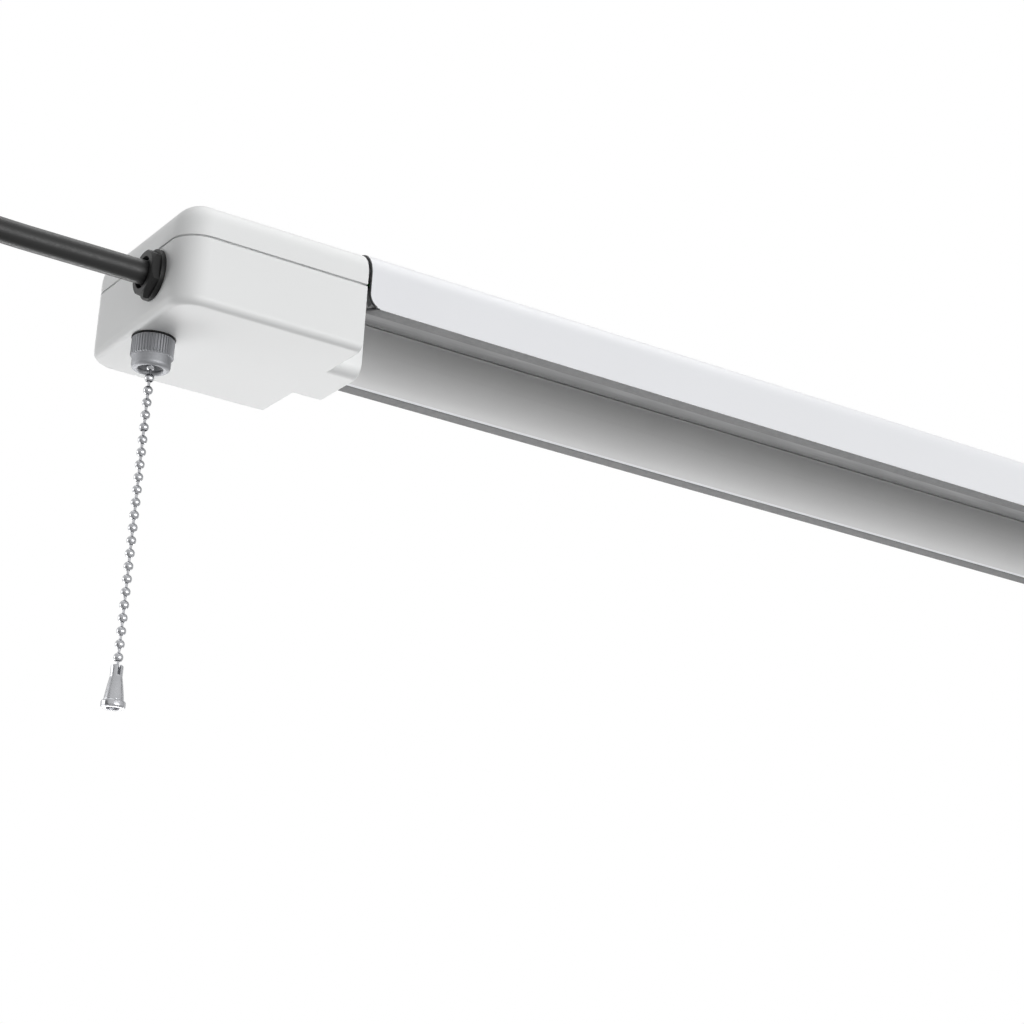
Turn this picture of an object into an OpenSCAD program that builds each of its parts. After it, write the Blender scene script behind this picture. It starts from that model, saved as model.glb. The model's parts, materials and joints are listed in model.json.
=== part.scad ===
// Hanging shop light with a pull-chain switch.
// X runs along the light, with the switch end at -X, Z is up, and the origin lies on the channel's top
// in the middle of its four hanging holes. All lengths are in millimetres.

/* [Channel] */
// Length of the sheet-metal channel between the end caps
channel_l = 1118; // [500:1:2400]
// Outside width of the channel
channel_w = 74; // [70:0.5:90]
// Height of the channel from its rims to its top
channel_h = 22; // [21:0.5:28]
// Outside radius of the channel's top edges
channel_r = 10.4; // [8:0.2:10.6]
// Thickness of the channel's sheet
sheet_t = 1.2; // [0.8:0.1:1.4]
// Width of the lip folded inward along each rim, measured from the outside
lip_w = 6.2; // [5:0.1:7]
// Radius of the rounded lower corner at each end of the side walls
end_round_r = 5; // [2:0.5:7]
// Distance between the hanging holes along the light
hang_span = 914; // [300:1:1000]
// Distance between the hanging holes across the light
hang_gauge = 38; // [36:0.5:40]
// Diameter of each hanging hole
hang_hole_d = 5.2; // [4:0.1:6]

/* [Reflector and lens] */
// Thickness of the reflector's sheet
reflector_t = 0.8; // [0.5:0.1:1]
// Width of the lens
lens_w = 20.4; // [20:0.2:24]
// Thickness of the lens's face
lens_t = 1.1; // [0.8:0.1:1.3]
// Thickness of the lens's two legs
lens_leg_t = 1; // [0.7:0.1:1.2]
// Distance from the channel's top to the lens's face
lens_drop = 6.6; // [6.4:0.1:7.4]
// Distance that the lens stands proud of the reflector
lens_proud = 0.2; // [0.1:0.1:0.6]
// Width of each LED board
board_w = 17; // [14:0.5:17.5]
// Thickness of each LED board
board_t = 1.2; // [1:0.1:1.3]
// Distance from one LED to the next
led_pitch = 18; // [12:1:30]

/* [End caps] */
// Length of the cap that holds the switch
cap_l = 68.2; // [66:0.2:90]
// Length of the cap at the other end
far_cap_l = 32; // [26:0.5:60]
// Distance from the channel's top down to the caps' tops
cap_reveal = 1; // [0.6:0.1:1.4]
// Height of the caps
cap_h = 37.4; // [37:0.2:44]
// Height of the parting line above the caps' underside
split_h = 24; // [23.8:0.2:26]
// Radius of the caps' upright corners
cap_corner_r = 10; // [10:0.2:13]
// Radius along the caps' lower edges
cap_foot_r = 3; // [2.2:0.2:4]
// Wall thickness of the caps
cap_wall = 2.2; // [1.8:0.1:2.4]
// Height of the shadow line between the two halves of a cap
seam_gap = 0.5; // [0.3:0.1:0.8]
// Depth of the shadow line
seam_depth = 0.9; // [0.5:0.1:1.1]
// Gap between a cap and the channel
joint_gap = 0.8; // [0.4:0.1:1.2]
// Length of the nose that reaches into the trough
nose_l = 11; // [9:0.2:14]
// Width of the nose
nose_w = 32; // [28:0.5:32]
// Radius along the nose's lower edges
nose_r = 5; // [3:0.5:6]

/* [Pull switch] */
// Distance from the cap's end face to the switch's axis
switch_x = 9; // [8.8:0.1:10]
// Outside diameter of the knurled collar
nut_d = 14.4; // [13.6:0.1:15]
// Height of the whole nut
nut_h = 11.4; // [10.6:0.1:13]
// Height of the knurled part
knurl_h = 7.4; // [5:0.1:8]
// Number of ribs in the knurl
knurl_count = 44; // [24:1:48]
// Depth of the knurl
knurl_depth = 0.35; // [0.2:0.05:0.4]
// Diameter of the smooth part under the knurl
nut_neck_d = 13.1; // [12.6:0.1:13.4]
// Outside diameter of the bushing's barrel
bushing_d = 9.4; // [9:0.1:9.6]
// Bore of the bushing
bushing_bore_d = 4.4; // [4.2:0.1:5]
// Travel of the pull switch
pull_travel = 5; // [3:0.5:5]
// Length of the switch's case
case_l = 28; // [27:0.5:30]
// Width of the switch's case
case_w = 13; // [12.6:0.1:13.4]
// Height of the switch's case
case_h = 19; // [18.6:0.2:20]

/* [Pull chain] */
// Diameter of each bead
bead_d = 3.2; // [3:0.1:3.4]
// Distance from one bead to the next
bead_pitch = 4.35; // [4.3:0.05:4.8]
// Number of beads below the nut
bead_count = 23; // [8:1:60]
// Distance from the cap's underside to the first bead below the nut
first_bead = 14.2; // [14:0.1:16]
// Diameter of the links' wire
link_d = 0.85; // [0.7:0.05:0.9]
// Height of the bell
bell_h = 14.1; // [13:0.1:20]
// Diameter of the bell's top
bell_top_d = 3.9; // [3.8:0.1:4.6]
// Diameter of the bell's skirt above its rim
bell_skirt_d = 6.4; // [6:0.1:7]
// Diameter of the bell's rim
bell_rim_d = 7.7; // [7.4:0.1:9]
// Height of the bell's rim
bell_rim_h = 2.6; // [2:0.1:3]

/* [Cord and gland] */
// Diameter of the cord's jacket
cord_d = 8.2; // [8:0.1:8.4]
// Distance from the cap's near side to the gland's axis
gland_y = 20.4; // [19:0.1:21]
// Height of the gland's axis above the cap's underside
gland_z = 14.3; // [14:0.1:14.8]
// Diameter of the gland's round flange
gland_flange_d = 17.4; // [16:0.1:17.8]
// Thickness of the gland's round flange
gland_flange_t = 1.7; // [1:0.1:2.4]
// Diameter across the corners of the gland's nut
gland_nut_d = 17.2; // [16:0.1:17.4]
// Distance that the gland stands out of the cap
gland_h = 4.5; // [4:0.1:8]
// Diameter of the recess round the cord
gland_recess_d = 10.4; // [9.8:0.1:11]
// Radius of the coil at the middle of its turns
coil_mid_r = 48; // [44:0.5:52]
// Distance from one turn of the coil to the next
coil_pitch = 8.9; // [8.7:0.1:9.4]
// Number of whole turns in the coil
coil_turns = 4; // [2:1:6]
// Width of the tie round the coil
tie_w = 12; // [8:0.5:16]

/* [Plug] */
// Diameter of the plug's body
plug_d = 27; // [25:0.5:30]
// Thickness of the plug's body across its flats
plug_flat = 21; // [18:0.5:24]
// Length of the plug's body
plug_l = 24; // [20:0.5:30]
// Length of the tapered strain relief behind the plug
plug_relief_l = 22; // [20:0.5:30]
// Distance between the plug's blades
blade_gap = 12.7; // [12.7]
// Length of the plug's blades
blade_l = 16; // [15:0.5:18]

/* [Hidden] */

// Overrun of every cut past the face that it opens
cut = 1;
// Thickness of the slices that a hull joins
slice = 0.05;
// Gap between pieces that seat on each other
seat = 0.3;
// Radial clearance round a screw, a pin or a thread
fit = 0.1;
// Radial clearance of a turning pin
pin_fit = 0.05;
// Faces round the turned pieces
round_fn = 64;

// Colours, as the photograph shows them
shell_white = [0.93, 0.93, 0.94];
trim_white = [0.92, 0.92, 0.91];
trough_grey = [0.86, 0.86, 0.87];
lens_grey = [0.8, 0.81, 0.82];
nickel = [0.66, 0.66, 0.67];
black_plastic = [0.09, 0.09, 0.09];
copper_brass = [0.78, 0.63, 0.34];
zinc = [0.7, 0.71, 0.73];

// Channel
ground_in = 24;
rim_z = -channel_h;
lip_top_z = rim_z + sheet_t;
lip_in_y = channel_w / 2 - lip_w;

// Reflector: a flat under the channel's top, a step beside the lens, a round flank and a foot on the lip
flat_top_z = -sheet_t;
flat_z = flat_top_z - reflector_t;
step_y = lens_w / 2 + seat;
flank_y = step_y + reflector_t;
flank_z = lens_proud - lens_drop;
foot_set = 0.2;
flank_dy = lip_in_y + foot_set - flank_y;
flank_dz = flank_z - lip_top_z;
flank_r = (flank_dy * flank_dy + flank_dz * flank_dz) / (2 * flank_dz);
flank_c_z = flank_z - flank_r;
foot_w = lip_w - sheet_t - 2 * seat;
trough_l = channel_l - 2 * seat;

// Lens and LED boards
lens_inset = 3;
lens_l = channel_l - 2 * lens_inset;
board_gap = 2;
board_l = (lens_l - 3 * board_gap) / 2;
board_z = flat_z - board_t;
led_l = 3.5;
led_w = 2.8;
led_h = 0.7;
led_per_board = floor((board_l - led_pitch) / led_pitch);
board_screw_d = 3;
board_screw_head_d = 5.2;
board_screw_head_h = 0.8;
board_screw_share = 0.3;
board_screw_x = [-1 - board_screw_share, -1 + board_screw_share, 1 - board_screw_share, 1 + board_screw_share]
    * (board_l + board_gap) / 2;

// Caps
cap_w = channel_w;
cap_r = channel_r - cap_reveal;
cap_top_z = -cap_reveal;
cap_z = cap_top_z - cap_h;
split_z = cap_z + split_h;
floor_z = cap_z + cap_wall;
in_w = cap_w - 2 * cap_wall;
in_r = cap_corner_r - cap_wall;
nose_top_z = -lens_drop - seat - lens_proud;
tongue_y = 13.2;
tongue_w = 11.6;
tongue_t = 2.8;
tongue_l = 13;
tongue_z = -sheet_t - fit - tongue_t;
post_d = 7;
post_x = 14;
post_y = 27.2;
post_in = 8;
cover_screw_d = 3;
cover_screw_head_d = 5.6;
cover_screw_head_h = 2.2;
cover_screw_set = 3.2;
cover_screw_l = 24;
channel_screw_d = 3;
channel_screw_head_d = 6;
channel_screw_head_h = 1.8;
channel_screw_y = hang_gauge / 2;
channel_screw_x = 7;
wire_slot_w = 6;
wire_slot_h = 4;
lead_slot_l = 2.4;

// Pull chain
bead_r = bead_d / 2;
bead_wall = 0.4;
link_head_d = 1.7;
link_head_t = 0.3;
link_set = 0.2;
link_hole_d = 1.3;
swing_hole_d = 2.2;
bell_gap = 2.6;
inner_beads = 7;
upper_beads = 4;
bead_z = cap_z - first_bead;
bell_z = bead_z - (bead_count - 1) * bead_pitch - bell_gap;
slider_bead_z = bead_z + inner_beads * bead_pitch;
function bead_at(k) = bead_z - k * bead_pitch;

// Pull switch, measured in the switch end's own frame
knurl_bevel = 0.5;
neck_r = 1.1;
bushing_flange_d = 12.2;
bushing_flange_h = 1;
bushing_neck_d = 7;
bushing_rim_d = 8.4;
bushing_rim_h = 0.5;
bushing_set = 2;
bushing_out = nut_h - bushing_set;
mouth_d = 10.2;
mouth_h = 2.6;
cone_d = 8;
cone_h = 2.4;
case_wall = 1.5;
case_back = 6.3;
case_x = switch_x - case_back;
case_z = floor_z + bushing_flange_h;
case_in_z = case_z + case_wall;
case_top_z = case_z + case_h;
slider_floor = 0.6;
slider_z = slider_bead_z - bead_r - slider_floor;
slider_h = 6;
slider_l = 10;
spring_z = case_in_z + bushing_rim_h;
spring_wire_d = 0.6;
spring_mid_r = 3;
spring_turns = 4;
drum_in = 18.6;
drum_x = case_x + drum_in;
drum_z = case_z + case_h / 2;
drum_r = 5.6;
drum_w = 5;
drum_pin_d = 2;
ratchet_teeth = 8;
ratchet_depth = 0.9;
contact_t = 0.6;
contact_w = 4;

// Gland
gland_ax_y = gland_y - cap_w / 2;
gland_ax_z = cap_z + gland_z;
gland_thread_d = 13;
locknut_t = 3;
locknut_d = 16.4;
gland_chamfer = 1.4;
seal_l = 3;
cord_stub = 12;
strip_l = 3;

// Free cord: the route from the gland to the coil, as steps from the cord's exit, in X and Z
cord_exit = [-end_x() - gland_h, gland_ax_y, gland_ax_z];
CORD_ROUTE = [[0, 0], [-20, 0], [-40, 0], [-60, 0], [-71, -1.4], [-81, -5.6], [-89.7, -12.3], [-96.4, -21],
    [-100.6, -31], [-102, -42], [-102, -54], [-100.3, -66.9], [-95.3, -79], [-87.4, -89.4], [-78, -98.8],
    [-70, -106.8], [-61.6, -115.2]];
cord_sides = 10;
coil_start = 45;
coil_end = coil_start + 45 + 360 * coil_turns;
coil_half = (coil_end - coil_start) / 2;
coil_mid = coil_start + coil_half;
coil_in_r = coil_mid_r - coil_pitch * coil_half / 720;
coil_out_r = coil_in_r + coil_pitch * coil_half / 360;
coil_c = CORD_ROUTE[len(CORD_ROUTE) - 1] + cord_d * [cos(coil_start), -sin(coil_start)]
    - coil_out_r * [sin(coil_start), cos(coil_start)];
coil_step = 15;
tail_l = 44;
tie_t = 1.2;
tie_gap = 0.4;

// Plug
plug_top_z = cord_exit[2] + coil_c[1] - cord_d - tail_l;
plug_x = cord_exit[0] + coil_c[0] + coil_out_r;
plug_y = cord_exit[1] + coil_pitch;
blade_w = 6.3;
blade_t = 1.5;
pin_d = 4.8;
pin_l = 19;
pin_off = 11.9;

// LED driver, in the switch end's own frame
driver_x = 35;
driver_l = 28;
driver_w = 38;
driver_t = 1.6;
driver_up = 6;
driver_z = floor_z + driver_up;
standoff_d = 5;
standoff_in = 4;
lead_d = 1.8;

function end_x() = channel_l / 2 + joint_gap + cap_l;
function r_coil(a) = coil_in_r + coil_pitch * abs(a - coil_mid) / 360;
function y_coil(a) = coil_pitch * min(1, max(0, (a - coil_mid + 90) / 180));
function coil_point(a) = cord_exit + [coil_c[0] + r_coil(a) * sin(a), y_coil(a), coil_c[1] + r_coil(a) * cos(a)];
coil_turns_path = [for (a = [coil_start : coil_step : coil_end]) coil_point(a)];
cord_path = [for (p = CORD_ROUTE) cord_exit + [p[0], 0, p[1]]];
tail_path = [for (k = [0 : 2]) [plug_x, plug_y, plug_top_z + tail_l - k * tail_l / 2]];
coil_path = concat([cord_path[len(cord_path) - 1]], coil_turns_path, [tail_path[0]]);

// Length of a path, and the least gap between turns that lie at least half a turn apart
function path_l(p, k = 1) = k >= len(p) ? 0 : norm(p[k] - p[k - 1]) + path_l(p, k + 1);
coil_gap = min([for (i = [0 : len(coil_path) - 1]) for (j = [i + 14 : 1 : len(coil_path) - 1])
    norm(coil_path[i] - coil_path[j])]) - cord_d;
echo(cord_length = path_l(cord_path) + path_l(coil_path) + path_l(tail_path), coil_gap = coil_gap);

// Shapes that several pieces use

// Puts a piece of the switch end into the light's frame: x runs from the cap's end face to the channel
module at_switch_end() {
    translate([-end_x(), 0, 0]) children();
}

// The same at the other end, mirrored
module at_far_end() {
    translate([channel_l / 2 + joint_gap + far_cap_l, 0, 0]) mirror([1, 0, 0]) children();
}

// Runs a profile, drawn in y and z, along x
module along_x(l) {
    rotate([90, 0, 90]) linear_extrude(height = l) children();
}

// Both sides of a profile
module both_sides_2d() {
    children();
    mirror([1, 0]) children();
}

// A tube along points: ref is a direction that the path never runs along
module tube(path, d, sides, ref) {
    n = len(path);
    rings = [for (i = [0 : n - 1])
        let (t = path[min(i + 1, n - 1)] - path[max(i - 1, 0)])
        let (u = cross(t, ref) / norm(cross(t, ref)))
        let (v = cross(u, t) / norm(cross(u, t)))
        for (k = [0 : sides - 1]) path[i] + d / 2 * (u * cos(360 * k / sides) + v * sin(360 * k / sides))];
    walls = [for (i = [0 : n - 2]) for (k = [0 : sides - 1])
        let (a = i * sides + k)
        let (b = i * sides + (k + 1) % sides)
        for (f = [[a, a + sides, b], [b, a + sides, b + sides]]) f];
    near_end = [for (k = [1 : sides - 2]) [0, k, k + 1]];
    last = (n - 1) * sides;
    far_end = [for (k = [1 : sides - 2]) [last, last + k + 1, last + k]];
    polyhedron(rings, concat(walls, near_end, far_end));
}

// A pan-head screw that points down, with the underside of its head at the origin
module screw(d, head_d, head_h, l) {
    translate([0, 0, -l]) cylinder(d = d, h = l, $fn = round_fn);
    cylinder(d1 = head_d, d2 = head_d * pan_share, h = head_h, $fn = round_fn);
}
pan_share = 0.8;

// Channel
module channel_2d(grow) {
    w = channel_w / 2 - grow;
    r = channel_r - grow;
    both_sides_2d() {
        translate([0, rim_z]) square([w, channel_h - channel_r]);
        translate([0, -channel_r]) square([w - r, channel_r - grow]);
        translate([w - r, -channel_r]) circle(r = r, $fn = round_fn);
    }
}

module hang_holes() {
    for (sx = [-1, 1]) for (sy = [-1, 1])
        translate([sx * hang_span / 2, sy * hang_gauge / 2, -sheet_t - cut])
            cylinder(d = hang_hole_d, h = sheet_t + 2 * cut, $fn = round_fn);
}

module channel_screw_holes() {
    for (sx = [-1, 1]) for (sy = [-1, 1])
        translate([sx * (channel_l / 2 - channel_screw_x), sy * channel_screw_y, -sheet_t - cut])
            cylinder(d = channel_screw_d + 2 * fit, h = sheet_t + 2 * cut, $fn = round_fn);
}

module board_screw_holes(z, h) {
    for (x = board_screw_x) translate([x, 0, z])
        cylinder(d = board_screw_d + 2 * fit, h = h, $fn = round_fn);
}

ground_x = -channel_l / 2 + ground_in;

module channel() {
    color(shell_white) difference() {
        translate([-channel_l / 2, 0, 0]) along_x(channel_l) difference() {
            channel_2d(0);
            difference() {
                channel_2d(sheet_t);
                both_sides_2d() translate([lip_in_y, rim_z]) square([lip_w, sheet_t]);
            }
        }
        for (s = [-1, 1]) translate([s * channel_l / 2, 0, rim_z]) difference() {
            cube([2 * end_round_r, channel_w + 2 * cut, 2 * end_round_r], center = true);
            translate([-s * end_round_r, 0, end_round_r]) rotate([90, 0, 0])
                cylinder(r = end_round_r, h = channel_w + 4 * cut, center = true, $fn = round_fn);
        }
        hang_holes();
        channel_screw_holes();
        board_screw_holes(-sheet_t - cut, sheet_t + 2 * cut);
        translate([ground_x, channel_screw_y * -1, -sheet_t - cut])
            cylinder(d = channel_screw_d + 2 * fit, h = sheet_t + 2 * cut, $fn = round_fn);
    }
}

// Reflector
module reflector() {
    color(trough_grey) difference() {
        translate([-trough_l / 2, 0, 0]) along_x(trough_l) both_sides_2d() {
            translate([0, flat_z]) square([flank_y, reflector_t]);
            translate([step_y, flank_z]) square([reflector_t, flat_top_z - flank_z]);
            intersection() {
                translate([flank_y, flank_c_z]) difference() {
                    circle(r = flank_r + reflector_t, $fn = round_fn);
                    circle(r = flank_r, $fn = round_fn);
                }
                translate([step_y, lip_top_z]) square(2 * flank_r);
            }
            translate([lip_in_y + seat, lip_top_z]) square([foot_w, reflector_t]);
        }
        board_screw_holes(flat_z - cut, reflector_t + 2 * cut);
    }
}

// Lens
module lens() {
    color(lens_grey) translate([-lens_l / 2, 0, 0]) along_x(lens_l) both_sides_2d() {
        translate([0, -lens_drop]) square([lens_w / 2, lens_t]);
        translate([lens_w / 2 - lens_leg_t, -lens_drop]) square([lens_leg_t, lens_drop + flat_z]);
    }
}

// LED boards
module led_boards() {
    color([0.9, 0.9, 0.88]) difference() {
        for (s = [-1, 1]) translate([s * (board_l + board_gap) / 2, 0, board_z + board_t / 2])
            cube([board_l, board_w, board_t], center = true);
        board_screw_holes(board_z - cut, board_t + 2 * cut);
    }
}

module led_chips() {
    color([0.95, 0.85, 0.45]) for (s = [-1, 1]) for (k = [0 : led_per_board - 1])
        translate([s * (board_l + board_gap) / 2 + (k - (led_per_board - 1) / 2) * led_pitch,
            led_shift_share * board_w, board_z - led_h / 2]) cube([led_l, led_w, led_h], center = true);
}
led_shift_share = 0.25;

module board_screws() {
    color(zinc) for (x = board_screw_x) translate([x, 0, board_z]) rotate([180, 0, 0])
        screw(board_screw_d, board_screw_head_d, board_screw_head_h, -board_z);
}

// Caps
module plan_2d(l, w, r) {
    for (s = [-1, 1]) translate([r, s * (w / 2 - r)]) circle(r = r, $fn = round_fn);
    translate([0, r - w / 2]) square([r, w - 2 * r]);
    translate([r, -w / 2]) square([l - r, w]);
}

// Half of an upright section: a block whose outer edge may be round at its foot or its top
module edge_2d(w, low, high, foot_r, top_r) {
    translate([0, low + foot_r]) square([w, high - low - foot_r - top_r]);
    if (foot_r > 0) {
        translate([0, low]) square([w - foot_r, foot_r + slice]);
        translate([w - foot_r, low + foot_r]) intersection() {
            circle(r = foot_r, $fn = round_fn);
            translate([0, -foot_r]) square([foot_r, foot_r + slice]);
        }
    }
    if (top_r > 0) {
        translate([0, high - top_r - slice]) square([w - top_r, top_r + slice]);
        translate([w - top_r, high - top_r]) intersection() {
            circle(r = top_r, $fn = round_fn);
            translate([0, -slice]) square([top_r, top_r + slice]);
        }
    }
}

// A block that is open to x = l, with upright corners of radius r at x = 0
module round_block(l, w, r, low, high, foot_r, top_r) {
    translate([r, 0, 0]) along_x(l - r) both_sides_2d() edge_2d(w / 2, low, high, foot_r, top_r);
    translate([r, w / 2 - r, 0]) rotate([90, 0, 0]) linear_extrude(height = w - 2 * r)
        mirror([1, 0]) edge_2d(r, low, high, foot_r, top_r);
    for (s = [-1, 1]) translate([r, s * (w / 2 - r), 0]) rotate([0, 0, s > 0 ? 90 : 180])
        rotate_extrude(angle = 90, $fn = 2 * round_fn) edge_2d(r, low, high, foot_r, top_r);
}

function post_places(l) = [[post_x, -post_y], [post_x, post_y], [l - post_in, -post_y], [l - post_in, post_y]];

// The shadow line round the lower half, open above
module seam_step(l) {
    translate([0, 0, split_z - seam_gap]) linear_extrude(height = seam_gap + cut) difference() {
        translate([-cut, -cap_w]) square([l + 2 * cut, 2 * cap_w]);
        translate([seam_depth, 0]) plan_2d(l + 2 * cut, cap_w - 2 * seam_depth, cap_corner_r - seam_depth);
    }
}

module nose_2d(w, r, low, high) {
    both_sides_2d() {
        translate([0, low]) square([w / 2 - r, high - low]);
        translate([0, low + r]) square([w / 2, high - low - r]);
        translate([w / 2 - r, low + r]) circle(r = r, $fn = round_fn);
    }
}

module housing(l, posts) {
    difference() {
        union() {
            difference() {
                round_block(l, cap_w, cap_corner_r, cap_z, split_z, cap_foot_r, 0);
                translate([cap_wall, 0, floor_z]) linear_extrude(height = split_h)
                    plan_2d(l - 2 * cap_wall, in_w, in_r);
                seam_step(l);
            }
            for (p = posts) translate([p[0], p[1], floor_z - cut / 2])
                cylinder(d = post_d, h = split_z - floor_z + cut / 2, $fn = round_fn);
            translate([l - cap_wall, 0, 0]) along_x(cap_wall + nose_l) nose_2d(nose_w, nose_r, cap_z, split_z);
            translate([l + seat, 0, 0]) along_x(nose_l - seat) nose_2d(nose_w, nose_r, cap_z, nose_top_z);
        }
        translate([l - 2 * cap_wall, 0, 0]) along_x(nose_l + cap_wall)
            nose_2d(nose_w - 2 * cap_wall, nose_r - cap_wall, floor_z, nose_top_z - cap_wall);
        translate([l + seat + joint_gap, -wire_slot_w / 2, nose_top_z - cap_wall - cut])
            cube([lead_slot_l, wire_slot_w, cap_wall + 2 * cut]);
        for (p = posts) translate([p[0], p[1], split_z - cover_screw_l])
            cylinder(d = cover_screw_d + 2 * fit, h = cover_screw_l + cut, $fn = round_fn);
    }
}

module cover(l, posts) {
    difference() {
        union() {
            difference() {
                round_block(l, cap_w, cap_corner_r, split_z, cap_top_z, 0, cap_r);
                translate([cap_wall, 0, 0]) round_block(l - 2 * cap_wall, in_w, in_r, split_z - cut,
                    cap_top_z - cap_wall, 0, cap_r - cap_wall);
            }
            intersection() {
                for (p = posts) translate([p[0], p[1], split_z])
                    cylinder(d = post_d, h = cap_h, $fn = round_fn);
                translate([0, -cap_w / 2, split_z]) cube([l, cap_w, cap_top_z - cap_wall / 2 - split_z]);
            }
            for (s = [-1, 1]) translate([l - cap_wall, s * (tongue_y + tongue_w / 2) - tongue_w / 2, tongue_z])
                cube([cap_wall + joint_gap + tongue_l, tongue_w, tongue_t]);
        }
        for (p = posts) translate([p[0], p[1], 0]) {
            translate([0, 0, split_z - cut]) cylinder(d = cover_screw_d + 2 * fit, h = cap_h, $fn = round_fn);
            translate([0, 0, cap_top_z - cover_screw_set])
                cylinder(d = cover_screw_head_d + 2 * seat, h = cover_screw_set + cut, $fn = round_fn);
        }
        for (s = [-1, 1]) translate([l + joint_gap + channel_screw_x, s * channel_screw_y, tongue_z - cut])
            cylinder(d = channel_screw_d + 2 * fit, h = tongue_t + 2 * cut, $fn = round_fn);
        translate([l - cap_wall - cut, -channel_screw_y - wire_slot_w / 2, tongue_z - wire_slot_h])
            cube([cap_wall + 2 * cut, wire_slot_w, wire_slot_h]);
    }
}

module switch_housing() {
    color(trim_white) at_switch_end() difference() {
        union() {
            housing(cap_l, post_places(cap_l));
            for (sx = [0, 1]) for (sy = [-1, 1])
                translate([driver_x + standoff_in + sx * (driver_l - 2 * standoff_in),
                    sy * (driver_w / 2 - standoff_in), floor_z - cut / 2])
                    cylinder(d = standoff_d, h = driver_up + cut / 2, $fn = round_fn);
        }
        translate([switch_x, 0, cap_z - cut])
            cylinder(d = bushing_d + 4 * fit, h = cap_wall + 2 * cut, $fn = round_fn);
        translate([-cut, gland_ax_y, gland_ax_z]) rotate([0, 90, 0])
            cylinder(d = gland_thread_d + 2 * fit, h = cap_wall + 2 * cut, $fn = round_fn);
    }
}

module switch_cover() {
    color(trim_white) at_switch_end() cover(cap_l, post_places(cap_l));
}

module far_housing() {
    color(trim_white) at_far_end() housing(far_cap_l, [post_places(far_cap_l)[0], post_places(far_cap_l)[1]]);
}

module far_cover() {
    color(trim_white) at_far_end() cover(far_cap_l, [post_places(far_cap_l)[0], post_places(far_cap_l)[1]]);
}

module cover_screw_at(p) {
    translate([p[0], p[1], cap_top_z - cover_screw_set])
        screw(cover_screw_d, cover_screw_head_d, cover_screw_head_h, cover_screw_l);
}

module cover_screws() {
    color(zinc) {
        at_switch_end() for (p = post_places(cap_l)) cover_screw_at(p);
        at_far_end() for (k = [0, 1]) cover_screw_at(post_places(far_cap_l)[k]);
    }
}

module channel_screws() {
    color(zinc) for (sx = [-1, 1]) for (sy = [-1, 1])
        translate([sx * (channel_l / 2 - channel_screw_x), sy * channel_screw_y, 0])
            screw(channel_screw_d, channel_screw_head_d, channel_screw_head_h, -tongue_z);
}

// Pull switch
module knurled_nut() {
    r = nut_d / 2;
    color(nickel) at_switch_end() translate([switch_x, 0, cap_z - nut_h]) difference() {
        union() {
            translate([0, 0, nut_h - knurl_h]) intersection() {
                linear_extrude(height = knurl_h) polygon([for (k = [0 : 2 * knurl_count - 1])
                    (r - (k % 2) * knurl_depth) * [cos(180 * k / knurl_count), sin(180 * k / knurl_count)]]);
                rotate_extrude($fn = round_fn) polygon([[0, 0], [r - knurl_bevel, 0], [r + slice, knurl_bevel + slice],
                    [r + slice, knurl_h - knurl_bevel - slice], [r - knurl_bevel, knurl_h], [0, knurl_h]]);
            }
            rotate_extrude($fn = round_fn) {
                translate([0, neck_r]) square([nut_neck_d / 2, nut_h - knurl_h - neck_r + slice]);
                square([nut_neck_d / 2 - neck_r, neck_r + slice]);
                translate([nut_neck_d / 2 - neck_r, neck_r]) circle(r = neck_r, $fn = round_fn);
            }
        }
        translate([0, 0, mouth_h - slice])
            cylinder(d = bushing_d + 2 * fit, h = nut_h, $fn = round_fn);
        translate([0, 0, -cut]) cylinder(d = mouth_d, h = mouth_h + cut, $fn = round_fn);
    }
}

module switch_bushing() {
    color(nickel) at_switch_end() translate([switch_x, 0, floor_z]) difference() {
        union() {
            cylinder(d = bushing_flange_d, h = bushing_flange_h, $fn = round_fn);
            translate([0, 0, -cap_wall - bushing_out])
                cylinder(d = bushing_d, h = cap_wall + bushing_out, $fn = round_fn);
            cylinder(d = bushing_neck_d, h = bushing_flange_h + case_wall + bushing_rim_h, $fn = round_fn);
            translate([0, 0, bushing_flange_h + case_wall])
                cylinder(d = bushing_rim_d, h = bushing_rim_h, $fn = round_fn);
        }
        translate([0, 0, -cap_wall - bushing_out - cut])
            cylinder(d = bushing_bore_d, h = 2 * cap_h, $fn = round_fn);
        translate([0, 0, -cap_wall - bushing_out])
            cylinder(d1 = cone_d, d2 = bushing_bore_d, h = cone_h, $fn = round_fn);
    }
}

module switch_case() {
    color([0.16, 0.12, 0.1]) at_switch_end() difference() {
        translate([case_x, -case_w / 2, case_z]) cube([case_l, case_w - case_wall, case_h]);
        translate([case_x + case_wall, -case_w / 2 + case_wall, case_in_z])
            cube([case_l - 2 * case_wall, case_w, case_h - 2 * case_wall]);
        translate([switch_x, 0, case_z - cut])
            cylinder(d = bushing_neck_d + 2 * fit, h = case_wall + 2 * cut, $fn = round_fn);
        translate([drum_x, 0, drum_z]) rotate([90, 0, 0])
            cylinder(d = drum_pin_d + 2 * fit, h = 2 * case_w, center = true, $fn = round_fn);
    }
}

module switch_lid() {
    color([0.16, 0.12, 0.1]) at_switch_end() difference() {
        translate([case_x, case_w / 2 - case_wall, case_z]) cube([case_l, case_wall, case_h]);
        translate([drum_x, case_w / 2, drum_z]) rotate([90, 0, 0])
            cylinder(d = drum_pin_d + 2 * fit, h = 4 * case_wall, center = true, $fn = round_fn);
    }
}

module switch_contacts() {
    color(copper_brass) at_switch_end() for (z = [case_in_z + seat, case_top_z - case_wall - seat - contact_t])
        translate([drum_x - contact_w / 2, -contact_w / 2, z])
            cube([case_x + case_l - case_wall - seat - drum_x + contact_w / 2, contact_w, contact_t]);
}

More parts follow.
